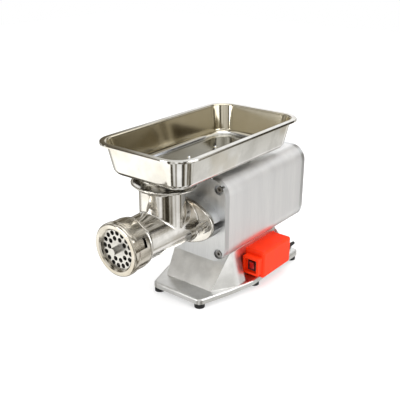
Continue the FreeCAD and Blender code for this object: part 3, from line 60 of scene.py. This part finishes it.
# ------------------------------------------------------------------ finishes
class Number:
    """A value that varies over a surface; arithmetic on it adds Math nodes."""

    def __init__(self, finish, socket):
        self.finish = finish
        self.socket = socket

    def math(self, operation, *others, swap=False):
        values = [self, *others]
        if swap:
            values.reverse()
        node = self.finish.add("Math", {"operation": operation}, dict(enumerate(values)))
        return Number(self.finish, node.outputs[0])

    def __add__(self, other):
        return self.math("ADD", other)

    __radd__ = __add__

    def __mul__(self, other):
        return self.math("MULTIPLY", other)

    __rmul__ = __mul__

    def __sub__(self, other):
        return self.math("SUBTRACT", other)

    def __rsub__(self, other):
        return self.math("SUBTRACT", other, swap=True)

    def __truediv__(self, other):
        return self.math("DIVIDE", other)

    def __pow__(self, other):
        return self.math("POWER", other)

    def over(self, low, high):
        """0 below low, 1 above high, smooth between."""
        node = self.finish.add("MapRange", {"interpolation_type": "SMOOTHSTEP"}, {
            "Value": self, "From Min": low, "From Max": high})
        return Number(self.finish, node.outputs["Result"])

    def wave(self, turns):
        return (self * (turns * 2 * math.pi)).math("SINE")


class Finish:
    """A procedural material on the Principled shader."""

    def __init__(self, name, **constants):
        self.material = bpy.data.materials.new(name)
        self.material.use_nodes = True
        self.tree = self.material.node_tree
        self.shader = next(n for n in self.tree.nodes if n.type == "BSDF_PRINCIPLED")
        for words, value in constants.items():
            self.shader.inputs[words.replace("_", " ").title().replace("Ior", "IOR")
                               ].default_value = value

    def add(self, kind, settings=None, inputs=None):
        """A node: its settings first, then the values or links of its sockets."""
        node = self.tree.nodes.new("ShaderNode" + kind)
        for name, setting in (settings or {}).items():
            if name == "stops":
                ramp = node.color_ramp.elements
                while len(ramp) < len(setting):
                    ramp.new(0.5)
                for stop, (at, colour) in zip(ramp, setting):
                    stop.position, stop.color = at, (*colour, 1.0)
            else:
                setattr(node, name, setting)
        for name, value in (inputs or {}).items():
            self.plug(node.inputs[name], value)
        return node

    def plug(self, socket, value):
        if isinstance(value, Number):
            value = value.socket
        if isinstance(value, bpy.types.NodeSocket):
            self.tree.links.new(value, socket)
        elif socket.type == "RGBA" and len(value) == 3:
            socket.default_value = (*value, 1.0)
        else:
            socket.default_value = value

    def place(self):
        return self.add("TexCoord").outputs["Object"]

    def along(self, axis):
        """The x, y or z of the spot, in metres."""
        parts = self.add("SeparateXYZ", {}, {0: self.place()})
        return Number(self, parts.outputs["XYZ".index(axis)])

    def facing(self, axis):
        """The x, y or z of the surface's own direction."""
        parts = self.add("SeparateXYZ", {}, {0: self.add("NewGeometry").outputs["Normal"]})
        return Number(self, parts.outputs["XYZ".index(axis)])

    def noise(self, size, detail=2.0, rough=0.5, stretch=(1, 1, 1), turn=(0, 0, 0)):
        """Smooth noise whose blotches are size metres across, longer along a stretched axis."""
        spread = self.add("Mapping", {}, {
            "Vector": self.place(), "Rotation": turn,
            "Scale": tuple(1 / (size * s) for s in stretch)})
        node = self.add("TexNoise", {}, {
            "Vector": spread.outputs[0], "Scale": 1.0, "Detail": detail, "Roughness": rough})
        return Number(self, node.outputs["Fac"])

    def grain(self, size, stretch=(1, 1, 1)):
        """Hard little cells, for cast skin."""
        spread = self.add("Mapping", {}, {
            "Vector": self.place(), "Scale": tuple(1 / (size * s) for s in stretch)})
        node = self.add("TexVoronoi", {}, {"Vector": spread.outputs[0], "Scale": 1.0})
        return Number(self, node.outputs["Distance"])

    def blend(self, amount, low, high):
        node = self.add("Mix", {"data_type": "RGBA"}, {0: amount, 6: low, 7: high})
        return node.outputs[2]

    def bump(self, height, depth, strength=1.0, under=None):
        inputs = {"Height": height, "Distance": depth, "Strength": strength}
        if under is not None:
            inputs["Normal"] = under
        return self.add("Bump", {}, inputs).outputs[0]

    def worn_edges(self, radius):
        """1 on sharp edges, 0 on flats."""
        bent = self.add("Bevel", {"samples": 4}, {"Radius": radius}).outputs[0]
        flat = self.add("NewGeometry").outputs["Normal"]
        dot = self.add("VectorMath", {"operation": "DOT_PRODUCT"}, {0: bent, 1: flat})
        return (1 - Number(self, dot.outputs["Value"])).over(0.02, 0.25)

    def painted_recess_shade(self, distance):
        """1 deep in corners, 0 in the open: the mask for painted shade in recesses."""
        node = self.add("AmbientOcclusion", {"samples": 8}, {"Distance": distance})
        return (1 - Number(self, node.outputs["AO"])).over(0.15, 0.85)

    def wear(self, **looks):
        for words, value in looks.items():
            self.plug(self.shader.inputs[words.replace("_", " ").title()], value)
        return self


def polished(name, light, dark, rough=0.09, warm=None, corner_shade=0.0):
    """Polished steel, with faint swirls, a cloudy tint and painted shade darkening its corners."""
    finish = Finish(name, metallic=1.0)
    clouds = finish.noise(0.05, 3.0, 0.55)
    swirls = finish.noise(0.004, 2.0, 0.6, (1, 1, 6))
    colour = finish.blend(clouds.over(0.35, 0.65), dark, light)
    if warm is not None:
        stain = finish.noise(0.09, 2.0, 0.5, turn=(0.4, 0.2, 0.9))
        colour = finish.blend(stain.over(0.48, 0.66) * 0.55, colour, warm)
    # Painted shade: base colour darkened towards near black deep in corners and recesses.
    if corner_shade:
        colour = finish.blend(finish.painted_recess_shade(0.008) * corner_shade, colour, (0.10, 0.09, 0.07))
    return finish.wear(
        base_color=colour, roughness=clouds * 0.06 + swirls * 0.05 + (rough - 0.045),
        normal=finish.bump(swirls, 0.00004, 0.4))


def brushed(name, light, dark, rough, stroke, depth=0.00003):
    """Aluminium or steel with fine strokes one way."""
    finish = Finish(name, metallic=1.0)
    strokes = finish.noise(0.0016, 3.0, 0.6, stroke)
    bands = finish.noise(0.02, 2.0, 0.5, stroke)
    tone = strokes * 0.45 + bands * 0.55
    return finish.wear(
        base_color=finish.blend(tone.over(0.3, 0.7), dark, light),
        roughness=tone * 0.16 + (rough - 0.08),
        normal=finish.bump(strokes, depth, 0.5))


def cast_metal(name, light, dark, rough, grain=0.0009):
    finish = Finish(name, metallic=1.0)
    clouds = finish.noise(0.03, 4.0, 0.6)
    pits = finish.grain(grain)
    edges = finish.worn_edges(0.0012)
    colour = finish.blend(clouds.over(0.3, 0.7), dark, light)
    colour = finish.blend(edges * 0.6, colour, tuple(min(1.0, c * 1.15) for c in light))
    return finish.wear(
        base_color=colour, roughness=clouds * 0.12 + (rough - 0.06) - edges * 0.05,
        normal=finish.bump(pits, 0.00006, 0.35))


def moulded(name, light, dark, rough, speck=0.0006, depth=0.00003, coat=0.0, shine=0.5):
    """Moulded plastic or rubber: even colour, fine skin, paler handled edges."""
    finish = Finish(name, coat_weight=coat, coat_roughness=0.15, ior=1.47)
    finish.shader.inputs["Specular IOR Level"].default_value = shine
    clouds = finish.noise(0.018, 3.0, 0.55)
    skin = finish.grain(speck)
    edges = finish.worn_edges(0.001)
    colour = finish.blend(clouds.over(0.3, 0.7), dark, light)
    colour = finish.blend(edges * 0.35, colour, tuple(min(1.0, c * 1.4 + 0.02) for c in light))
    return finish.wear(
        base_color=colour, roughness=clouds * 0.1 + (rough - 0.05) + edges * 0.05,
        normal=finish.bump(skin, depth, 0.4))


TRAY = polished("polished tray steel", (0.80, 0.79, 0.76), (0.66, 0.65, 0.62), 0.11,
                (0.60, 0.55, 0.45))
TRAY_MIDDLE_Y, TRAY_FLOOR_TOP = 0.006, 0.300
# Painted reflections: the tray's inner walls are tinted warm olive and its floor blue-grey, standing
# in for the room reflected in the steel.
outward = (TRAY.along("X") * TRAY.facing("X")
           + (TRAY.along("Y") - TRAY_MIDDLE_Y) * TRAY.facing("Y"))
flat = TRAY.facing("Z").over(0.6, 0.95) * (1 - TRAY.along("Z").over(
    TRAY_FLOOR_TOP, TRAY_FLOOR_TOP + 0.005))
inside = (1 - outward.over(-0.03, 0.0)) * (1 - flat)
steel = TRAY.shader.inputs["Base Color"].links[0].from_socket
# Painted reflection: warm olive on the inner walls.
steel = TRAY.blend(inside * 0.8, steel, (0.50, 0.45, 0.33))
# Painted reflection: blue-grey on the floor.
TRAY.wear(base_color=TRAY.blend(flat * 0.75, steel, (0.42, 0.46, 0.54)))
# The head's last argument darkens its corners and recesses: painted shade.
HEAD = polished("polished cast head", (0.78, 0.76, 0.72), (0.60, 0.58, 0.54), 0.12,
                (0.55, 0.49, 0.40), 0.75)
PLATE = brushed("ground plate steel", (0.66, 0.65, 0.62), (0.48, 0.47, 0.45), 0.30, (8, 1, 1))
HOUSING = brushed("brushed housing", (0.93, 0.93, 0.93), (0.84, 0.84, 0.85), 0.46, (1, 1, 22))
FRONT = brushed("satin end plate", (0.76, 0.77, 0.78), (0.66, 0.67, 0.68), 0.34, (1, 1, 12))
PEDESTAL = cast_metal("satin pedestal casting", (0.84, 0.84, 0.83), (0.72, 0.72, 0.71), 0.30)
RING = polished("polished ring nut", (0.70, 0.67, 0.61), (0.54, 0.51, 0.45), 0.16,
                (0.48, 0.43, 0.34))
BRIGHT = polished("bright fastener steel", (0.74, 0.73, 0.71), (0.56, 0.55, 0.53), 0.16)
MACHINED = brushed("machined steel", (0.62, 0.62, 0.62), (0.46, 0.46, 0.47), 0.32, (1, 14, 1))
LAMINATED = brushed("stacked laminations", (0.34, 0.34, 0.35), (0.22, 0.22, 0.23), 0.5,
                    (30, 1, 30), 0.0001)
ORANGE = moulded("orange switch box", (0.96, 0.036, 0.001), (0.90, 0.030, 0.001), 0.50,
                 shine=0.25)
BLACK = moulded("black moulding", (0.018, 0.018, 0.019), (0.010, 0.010, 0.011), 0.45)
RUBBER = moulded("black rubber", (0.016, 0.016, 0.017), (0.008, 0.008, 0.009), 0.62, 0.0011,
                 0.00008)
PALE = moulded("pale casing plastic", (0.72, 0.71, 0.66), (0.62, 0.61, 0.57), 0.45)
DARK_RED = moulded("dark red rocker", (0.16, 0.006, 0.006), (0.09, 0.004, 0.004), 0.22)
LENS = moulded("red lens", (0.55, 0.012, 0.010), (0.42, 0.010, 0.008), 0.10, coat=0.6)
COPPER = brushed("enamelled copper", (0.72, 0.34, 0.16), (0.48, 0.20, 0.09), 0.32,
                 (20, 1, 20), 0.0002)

# Darker cap screw steel with darkened corners: painted shade for the dark counterbores the screws sit
# in.
RECESS_SHADED_SCREW = polished("cap screws darkened as recess shade", (0.40, 0.39, 0.37), (0.24, 0.23, 0.22), 0.26, None, 0.9)
# Near-black cutting steel: painted shade for the dark chamber inside the head.
SHADE_DARKENED_STEEL = brushed("cutting steel darkened as shade inside the head", (0.10, 0.095, 0.085), (0.04, 0.038, 0.034), 0.38,
                  (6, 6, 6))

SLOT_FINISH = {
    "cast_aluminium": PEDESTAL, "brushed_aluminium": HOUSING, "plate_aluminium": FRONT,
    "black_rubber": RUBBER, "zinc_steel": BRIGHT, "sheet_steel": MACHINED,
    "bearing_steel": BRIGHT, "gear_steel": MACHINED, "laminations": LAMINATED,
    "copper_wire": COPPER, "black_plastic": BLACK, "capacitor_case": PALE,
    "orange_plastic": ORANGE, "rocker_plastic": DARK_RED, "red_lens": LENS,
    "polished_head": HEAD, "plate_steel": PLATE, "tray_steel": TRAY,
}
for entry in frame["record"]["subparts"]:
    slots = frame["nodes"][entry["node"]].data.materials
    slots.clear()
    slots.append(SLOT_FINISH[entry["material_slot"]].material)
SLOT_OF = {entry["node"]: entry["material_slot"] for entry in frame["record"]["subparts"]}
BODY_OF = {node: body for body, nodes in frame["record"]["behaviour"]["bodies"].items()
           for node in nodes}
# The knife, feed screw and front cap screws take the shade-darkened finishes.
for node, finish in (("cross_knife", SHADE_DARKENED_STEEL), ("feed_screw", SHADE_DARKENED_STEEL),
                     ("front_plate_screws", RECESS_SHADED_SCREW)):
    frame["nodes"][node].data.materials[0] = finish.material


# ------------------------------------------------------------------ modelling tools
def deselect():
    bpy.ops.object.select_all(action="DESELECT")


def begin(name):
    """Name the primitive just added and open it in edit mode."""
    piece = bpy.context.object
    piece.name = piece.data.name = name
    bpy.ops.object.mode_set(mode="EDIT")
    return piece


def finish_mesh(piece):
    """Back to object mode, with the piece's place put in its mesh."""
    if piece.mode == "EDIT":
        bpy.ops.object.mode_set(mode="OBJECT")
    deselect()
    piece.select_set(True)
    bpy.context.view_layer.objects.active = piece
    bpy.ops.object.transform_apply(location=True, rotation=True, scale=True)
    return piece


def pick(piece, kind, wanted):
    """Select the vertices, edges or faces whose middle passes the test, and only those."""
    bpy.ops.object.mode_set(mode="OBJECT")
    mesh, matrix = piece.data, piece.matrix_world
    for element in (*mesh.vertices, *mesh.edges, *mesh.polygons):
        element.select = False
    if kind == "VERT":
        for vertex in mesh.vertices:
            vertex.select = wanted(matrix @ vertex.co)
    elif kind == "EDGE":
        for edge in mesh.edges:
            ends = [matrix @ mesh.vertices[i].co for i in edge.vertices]
            edge.select = wanted(*ends)
    else:
        for face in mesh.polygons:
            face.select = wanted(matrix @ face.center, face.normal)
    bpy.ops.object.mode_set(mode="EDIT")
    bpy.ops.mesh.select_mode(type=kind)


def apply_modifier(piece, kind, **settings):
    """Add a modifier with its settings and apply it."""
    deselect()
    piece.select_set(True)
    bpy.context.view_layer.objects.active = piece
    modifier = piece.modifiers.new(kind.lower(), kind)
    for name, value in settings.items():
        setattr(modifier, name, value)
    bpy.ops.object.modifier_apply(modifier=modifier.name)
    return piece


def carve(piece, *tools, operation="DIFFERENCE"):
    """Boolean a piece with closed tools, which are then thrown away."""
    for tool in tools:
        apply_modifier(piece, "BOOLEAN", operation=operation, solver="EXACT", object=tool)
        bpy.data.objects.remove(tool)
    return piece


def smooth(piece, angle=35.0):
    deselect()
    piece.select_set(True)
    bpy.context.view_layer.objects.active = piece
    bpy.ops.object.shade_smooth_by_angle(angle=math.radians(angle))
    return apply_modifier(piece, "WEIGHTED_NORMAL", keep_sharp=True)


def rounded(piece, width, segments=3, angle=30.0):
    return apply_modifier(piece, "BEVEL", width=width, segments=segments,
                          limit_method="ANGLE", angle_limit=math.radians(angle),
                          harden_normals=False, miter_outer="MITER_ARC")


def dress(piece, finish, body, slot, *nodes):
    """Give a finished piece its material and the body it rides on, and hide the nodes it stands for.
    """
    piece.data.materials.clear()
    piece.data.materials.append(finish.material)
    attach(piece, body)
    if nodes:
        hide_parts(*nodes)
    return piece


def cylinder(name, radius, start, end, axis="Y", sides=96, tip=None):
    """A closed cylinder, or a cone when tip is given, between two points."""
    start, end = Vector(start), Vector(end)
    deselect()
    bpy.ops.mesh.primitive_cone_add(
        vertices=sides, radius1=radius, radius2=radius if tip is None else tip,
        depth=(end - start).length, location=(start + end) / 2)
    piece = bpy.context.object
    piece.name = piece.data.name = name
    piece.rotation_euler = (end - start).to_track_quat("Z", "Y").to_euler()
    return finish_mesh(piece)


def slab(name, low, high):
    deselect()
    low, high = Vector(low), Vector(high)
    bpy.ops.mesh.primitive_cube_add(size=1, location=(low + high) / 2)
    piece = bpy.context.object
    piece.name = piece.data.name = name
    piece.scale = high - low
    return finish_mesh(piece)


def lathe(name, profile, centre, axis=(0, 1, 0), steps=128):
    """Spin a closed outline of (along, radius) pairs round an axis through a point."""
    deselect()
    axis, centre = Vector(axis), Vector(centre)
    out = axis.orthogonal().normalized()
    bpy.ops.mesh.primitive_plane_add(size=0.001, location=centre)
    piece = begin(name)
    bpy.ops.mesh.delete(type="VERT")
    bpy.ops.object.mode_set(mode="OBJECT")
    corners = [centre + axis * along + out * radius for along, radius in profile]
    piece.data.from_pydata([piece.matrix_world.inverted() @ c for c in corners], [],
                           [range(len(corners))])
    bpy.ops.object.mode_set(mode="EDIT")
    bpy.ops.mesh.select_all(action="SELECT")
    bpy.ops.mesh.spin(steps=steps, angle=2 * math.pi, center=centre, axis=axis)
    bpy.ops.mesh.select_all(action="SELECT")
    bpy.ops.mesh.remove_doubles(threshold=1e-6)
    bpy.ops.mesh.normals_make_consistent(inside=False)
    return finish_mesh(piece)


def turn_copies(piece, angles, centre, axis=(0, 1, 0)):
    """Copies of a piece turned about an axis through a point; the piece itself is kept."""
    centre = Vector(centre)
    copies = []
    for angle in angles:
        copy = piece.copy()
        copy.data = piece.data.copy()
        scene.collection.objects.link(copy)
        turn = Matrix.Rotation(math.radians(angle), 4, Vector(axis))
        copy.data.transform(Matrix.Translation(centre) @ turn @ Matrix.Translation(-centre))
        copies.append(copy)
    return copies


def joined(name, *parts):
    deselect()
    for part in parts:
        part.select_set(True)
    bpy.context.view_layer.objects.active = parts[0]
    bpy.ops.object.join()
    parts[0].name = parts[0].data.name = name
    return parts[0]


# ------------------------------------------------------------------ floor and studio
deselect()
bpy.ops.mesh.primitive_plane_add(size=8.0)
floor = bpy.context.object
floor.name = "floor"
FLOOR = Finish("pale floor", roughness=0.85, emission_strength=0.45)
FLOOR.shader.inputs["Emission Color"].default_value = (1.0, 1.0, 1.0, 1.0)
FLOOR.wear(base_color=FLOOR.blend(FLOOR.noise(0.4).over(0.3, 0.7), (0.58, 0.58, 0.58),
                                  (0.62, 0.62, 0.62)))
floor.data.materials.append(FLOOR.material)
floor.visible_glossy = False


def softbox(name, where, towards, size, power, colour=(1, 1, 1)):
    lamp = bpy.data.lights.new(name, "AREA")
    lamp.shape = "RECTANGLE"
    lamp.size, lamp.size_y = size
    lamp.energy = power
    lamp.color = colour
    holder = bpy.data.objects.new(name, lamp)
    holder.location = where
    holder.rotation_euler = (Vector(towards) - Vector(where)).to_track_quat(
        "-Z", "Y").to_euler()
    scene.collection.objects.link(holder)
    return holder


MIDDLE = (0.0, 0.0, 0.18)
softbox("top_softbox", (0.1, 0.3, 1.7), MIDDLE, (1.6, 1.6), 14)
softbox("right_softbox", (1.6, 0.3, 0.7), MIDDLE, (1.3, 1.2), 11)
softbox("front_softbox", (-0.5, -1.6, 0.5), (0.0, -0.05, 0.08), (0.7, 0.6), 7)


def studio_world():
    """A white room to the eye; in reflections, a room with windows and darker corners."""
    world = bpy.data.worlds.new("studio")
    scene.world = world
    world.use_nodes = True
    tree = world.node_tree
    background = tree.nodes["Background"]
    spread = tree.nodes.new("ShaderNodeMapping")
    spread.inputs["Scale"].default_value = (2.3, 2.3, 0.7)
    spread.inputs["Location"].default_value = (0.35, 0.1, 0.0)
    streaks = tree.nodes.new("ShaderNodeTexNoise")
    streaks.inputs["Scale"].default_value = 1.5
    streaks.inputs["Detail"].default_value = 1.5
    ramp = tree.nodes.new("ShaderNodeValToRGB")
    stops = ramp.color_ramp.elements
    stops.new(0.47)
    stops.new(0.56)
    for stop, (at, colour) in zip(stops, (
            (0.38, (0.02, 0.016, 0.010)), (0.45, (0.17, 0.145, 0.10)),
            (0.51, (0.60, 0.585, 0.54)), (0.60, (1.10, 1.10, 1.10)))):
        stop.position, stop.color = at, (*colour, 1.0)
    path = tree.nodes.new("ShaderNodeLightPath")
    choice = tree.nodes.new("ShaderNodeMix")
    choice.data_type = "RGBA"
    choice.inputs[6].default_value = (1.0, 1.0, 1.0, 1.0)
    direction = tree.nodes.new("ShaderNodeTexCoord")
    tree.links.new(direction.outputs["Generated"], spread.inputs["Vector"])
    tree.links.new(spread.outputs[0], streaks.inputs["Vector"])
    tree.links.new(streaks.outputs["Fac"], ramp.inputs[0])
    tree.links.new(ramp.outputs[0], choice.inputs[7])
    tree.links.new(path.outputs["Is Glossy Ray"], choice.inputs[0])
    tree.links.new(choice.outputs[2], background.inputs[0])
    background.inputs[1].default_value = 1.0


studio_world()


def reflection_card(name, corners, colour, glow=0.0):
    """A card seen only in reflections, as a studio's dark and warm flags are."""
    deselect()
    bpy.ops.mesh.primitive_plane_add(size=1)
    card = bpy.context.object
    card.name = card.data.name = name
    for vertex, corner in zip(card.data.vertices, corners):
        vertex.co = corner
    shade = Finish(name + "_paint", roughness=1.0)
    shade.shader.inputs["Base Color"].default_value = (*colour, 1.0)
    shade.shader.inputs["Emission Color"].default_value = (*colour, 1.0)
    shade.shader.inputs["Emission Strength"].default_value = glow
    card.data.materials.append(shade.material)
    card.visible_camera = card.visible_diffuse = card.visible_shadow = False
    return card


reflection_card("pale_card", ((-1.3, -1.3, 0.002), (0.02, -1.3, 0.002), (-1.3, -0.27, 0.002),
                              (0.02, -0.27, 0.002)), (0.62, 0.61, 0.58), 0.9)


# ------------------------------------------------------------------ feed tray
RIM_X, RIM_FRONT, RIM_REAR, RIM_Z = 0.112, -0.1966, 0.2086, 0.350
FLOOR_Z, SHEET = 0.2845, 0.0015
FLANGE, TAPER, RIM_CORNER, FLOOR_ROUND = 0.0115, 0.0115, 0.0475, 0.012
NECK_Y = -0.121


def make_tray():
    length, middle = RIM_REAR - RIM_FRONT, (RIM_REAR + RIM_FRONT) / 2
    deselect()
    bpy.ops.mesh.primitive_plane_add(size=1, location=(0, middle, RIM_Z - SHEET / 2))
    bpy.context.object.scale = (2 * RIM_X, length, 1)
    tray = finish_mesh(bpy.context.object)
    begin("tray")
    bpy.ops.mesh.select_all(action="SELECT")
    bpy.ops.mesh.bevel(offset=RIM_CORNER, segments=14, affect="VERTICES")
    bpy.ops.mesh.select_all(action="SELECT")
    bpy.ops.mesh.inset(thickness=FLANGE)
    half_x, half_y = RIM_X - FLANGE, length / 2 - FLANGE
    depth = RIM_Z - FLOOR_Z - SHEET
    bpy.ops.mesh.extrude_region_move(TRANSFORM_OT_translate={"value": (0, 0, -depth)})
    bpy.ops.transform.resize(
        value=((half_x - TAPER) / half_x, (half_y - TAPER) / half_y, 1),
        center_override=(0, middle, 0))
    floor_z = RIM_Z - SHEET / 2 - depth
    pick(tray, "EDGE", lambda a, b: max(a.z, b.z) < floor_z + 1e-5)
    bpy.ops.mesh.bevel(offset=FLOOR_ROUND, segments=6, profile=0.5)
    pick(tray, "EDGE", lambda a, b: min(a.z, b.z) > RIM_Z - SHEET
         and max(abs(a.x), abs(b.x)) < half_x + 1e-4
         and max(abs(a.y - middle), abs(b.y - middle)) < half_y + 1e-4
         )
    bpy.ops.mesh.bevel(offset=0.003, segments=4, profile=0.5)
    bpy.ops.mesh.select_all(action="DESELECT")
    bpy.ops.mesh.select_mode(type="EDGE")
    bpy.ops.mesh.select_non_manifold()
    for drop, grow in ((-0.0012, 1.0012), (-0.0016, 1.0), (-0.0012, 0.9985)):
        bpy.ops.mesh.extrude_region_move(TRANSFORM_OT_translate={"value": (0, 0, drop)})
        bpy.ops.transform.resize(value=(grow, grow, 1), center_override=(0, middle, 0))
    bpy.ops.mesh.select_all(action="SELECT")
    bpy.ops.mesh.normals_make_consistent(inside=False)
    finish_mesh(tray)
    apply_modifier(tray, "SOLIDIFY", thickness=SHEET, offset=0.0)
    spout = cylinder("spout", 0.0385, (0, NECK_Y, 0.2655), (0, NECK_Y, 0.2861), tip=0.0448)
    bore = cylinder("bore", 0.0370, (0, NECK_Y, 0.2654), (0, NECK_Y, 0.2965), tip=0.0460)
    carve(tray, spout, operation="UNION")
    carve(tray, bore)
    rounded(tray, 0.0004, 2, 40)
    smooth(tray, 40)
    return dress(tray, TRAY, "tray", "tray_steel", "feed_tray")


make_tray()


# ------------------------------------------------------------------ pieces eased from the CAD
def drawn_from(node, name):
    """A free copy of a CAD node's mesh, its triangles merged back into whole faces."""
    source = frame["nodes"][node]
    piece = bpy.data.objects.new(name, source.data.copy())
    piece.data.name = name
    piece.data.transform(source.matrix_world)
    scene.collection.objects.link(piece)
    deselect()
    piece.select_set(True)
    bpy.context.view_layer.objects.active = piece
    bpy.ops.mesh.customdata_custom_splitnormals_clear()
    bpy.ops.object.mode_set(mode="EDIT")
    bpy.ops.mesh.select_all(action="SELECT")
    bpy.ops.mesh.remove_doubles(threshold=1e-6)
    bpy.ops.mesh.dissolve_limited(angle_limit=math.radians(1.0))
    bpy.ops.object.mode_set(mode="OBJECT")
    return piece


def eased(node, name, width, segments=3, angle=40.0):
    """Replace a CAD node by a copy whose sharp edges are rounded."""
    piece = drawn_from(node, name)
    rounded(piece, width, segments, angle)
    smooth(piece, 40)
    return dress(piece, SLOT_FINISH[SLOT_OF[node]], BODY_OF[node], SLOT_OF[node], node)


eased("front_plate", "front_end_plate", 0.0012)
eased("pedestal", "flared_pedestal", 0.0022, 4)
eased("switch_box", "orange_switch_box", 0.0012)


# ------------------------------------------------------------------ grinder head
def make_head():
    """The casting: the CAD solid with every junction melted into a cast blend."""
    head = drawn_from("grinder_head", "cast_grinder_head")
    apply_modifier(head, "REMESH", mode="VOXEL", voxel_size=0.0013, adaptivity=0.0)
    apply_modifier(head, "SMOOTH", factor=0.5, iterations=7)
    deselect()
    head.select_set(True)
    bpy.context.view_layer.objects.active = head
    bpy.ops.object.shade_smooth()
    return dress(head, HEAD, "frame", "polished_head", "grinder_head")


make_head()


# ------------------------------------------------------------------ ring nut
FACE_Y, AXIS_Z = -0.041, 0.179


def prism(name, outline, start, end):
    """A closed outline of (x, z) pairs pulled along Y from start to end."""
    deselect()
    bpy.ops.mesh.primitive_plane_add(size=0.001)
    piece = begin(name)
    bpy.ops.mesh.delete(type="VERT")
    bpy.ops.object.mode_set(mode="OBJECT")
    piece.data.from_pydata([(x, start, z) for x, z in outline], [], [range(len(outline))])
    bpy.ops.object.mode_set(mode="EDIT")
    bpy.ops.mesh.select_all(action="SELECT")
    bpy.ops.mesh.extrude_region_move(TRANSFORM_OT_translate={"value": (0, end - start, 0)})
    bpy.ops.mesh.select_all(action="SELECT")
    bpy.ops.mesh.normals_make_consistent(inside=False)
    return finish_mesh(piece)


def make_ring_nut():
    ring = lathe("ring_nut_with_lugs", (
        (-0.2080, 0.0390), (-0.2105, 0.0418), (-0.2105, 0.0478), (-0.2098, 0.0494),
        (-0.2082, 0.0512), (-0.2060, 0.0520), (-0.1982, 0.0520), (-0.1966, 0.0512), (-0.1958, 0.0500),
        (-0.1700, 0.0500), (-0.1675, 0.0494), (-0.1663, 0.0480), (-0.1663, 0.0463),
        (-0.2035, 0.0463), (-0.2035, 0.0390)), (0, FACE_Y, AXIS_Z))
    horn = []
    for step in range(9):
        share = step / 8
        horn.append((0.0485 + 0.0133 * share, -0.0130 + 0.0092 * share ** 1.1))
    horn += [(x, -z) for x, z in reversed(horn)]
    block = [(0.0485, -0.0100), (0.0585, -0.0088), (0.0585, 0.0088), (0.0485, 0.0100)]
    lugs = []
    for outline, angles in ((block, (-21.0,)), (horn, (-141.0, -261.0))):
        lug = prism("lug", outline, -0.2490, -0.2175)
        rounded(lug, 0.0014, 3, 40)
        lug.data.transform(Matrix.Translation((0, 0, AXIS_Z)))
        lugs += turn_copies(lug, angles, (0, 0, AXIS_Z))
        bpy.data.objects.remove(lug)
    carve(ring, *lugs, operation="UNION")
    smooth(ring, 32)
    return dress(ring, RING, "ring", "polished_head", "ring_nut")


make_ring_nut()
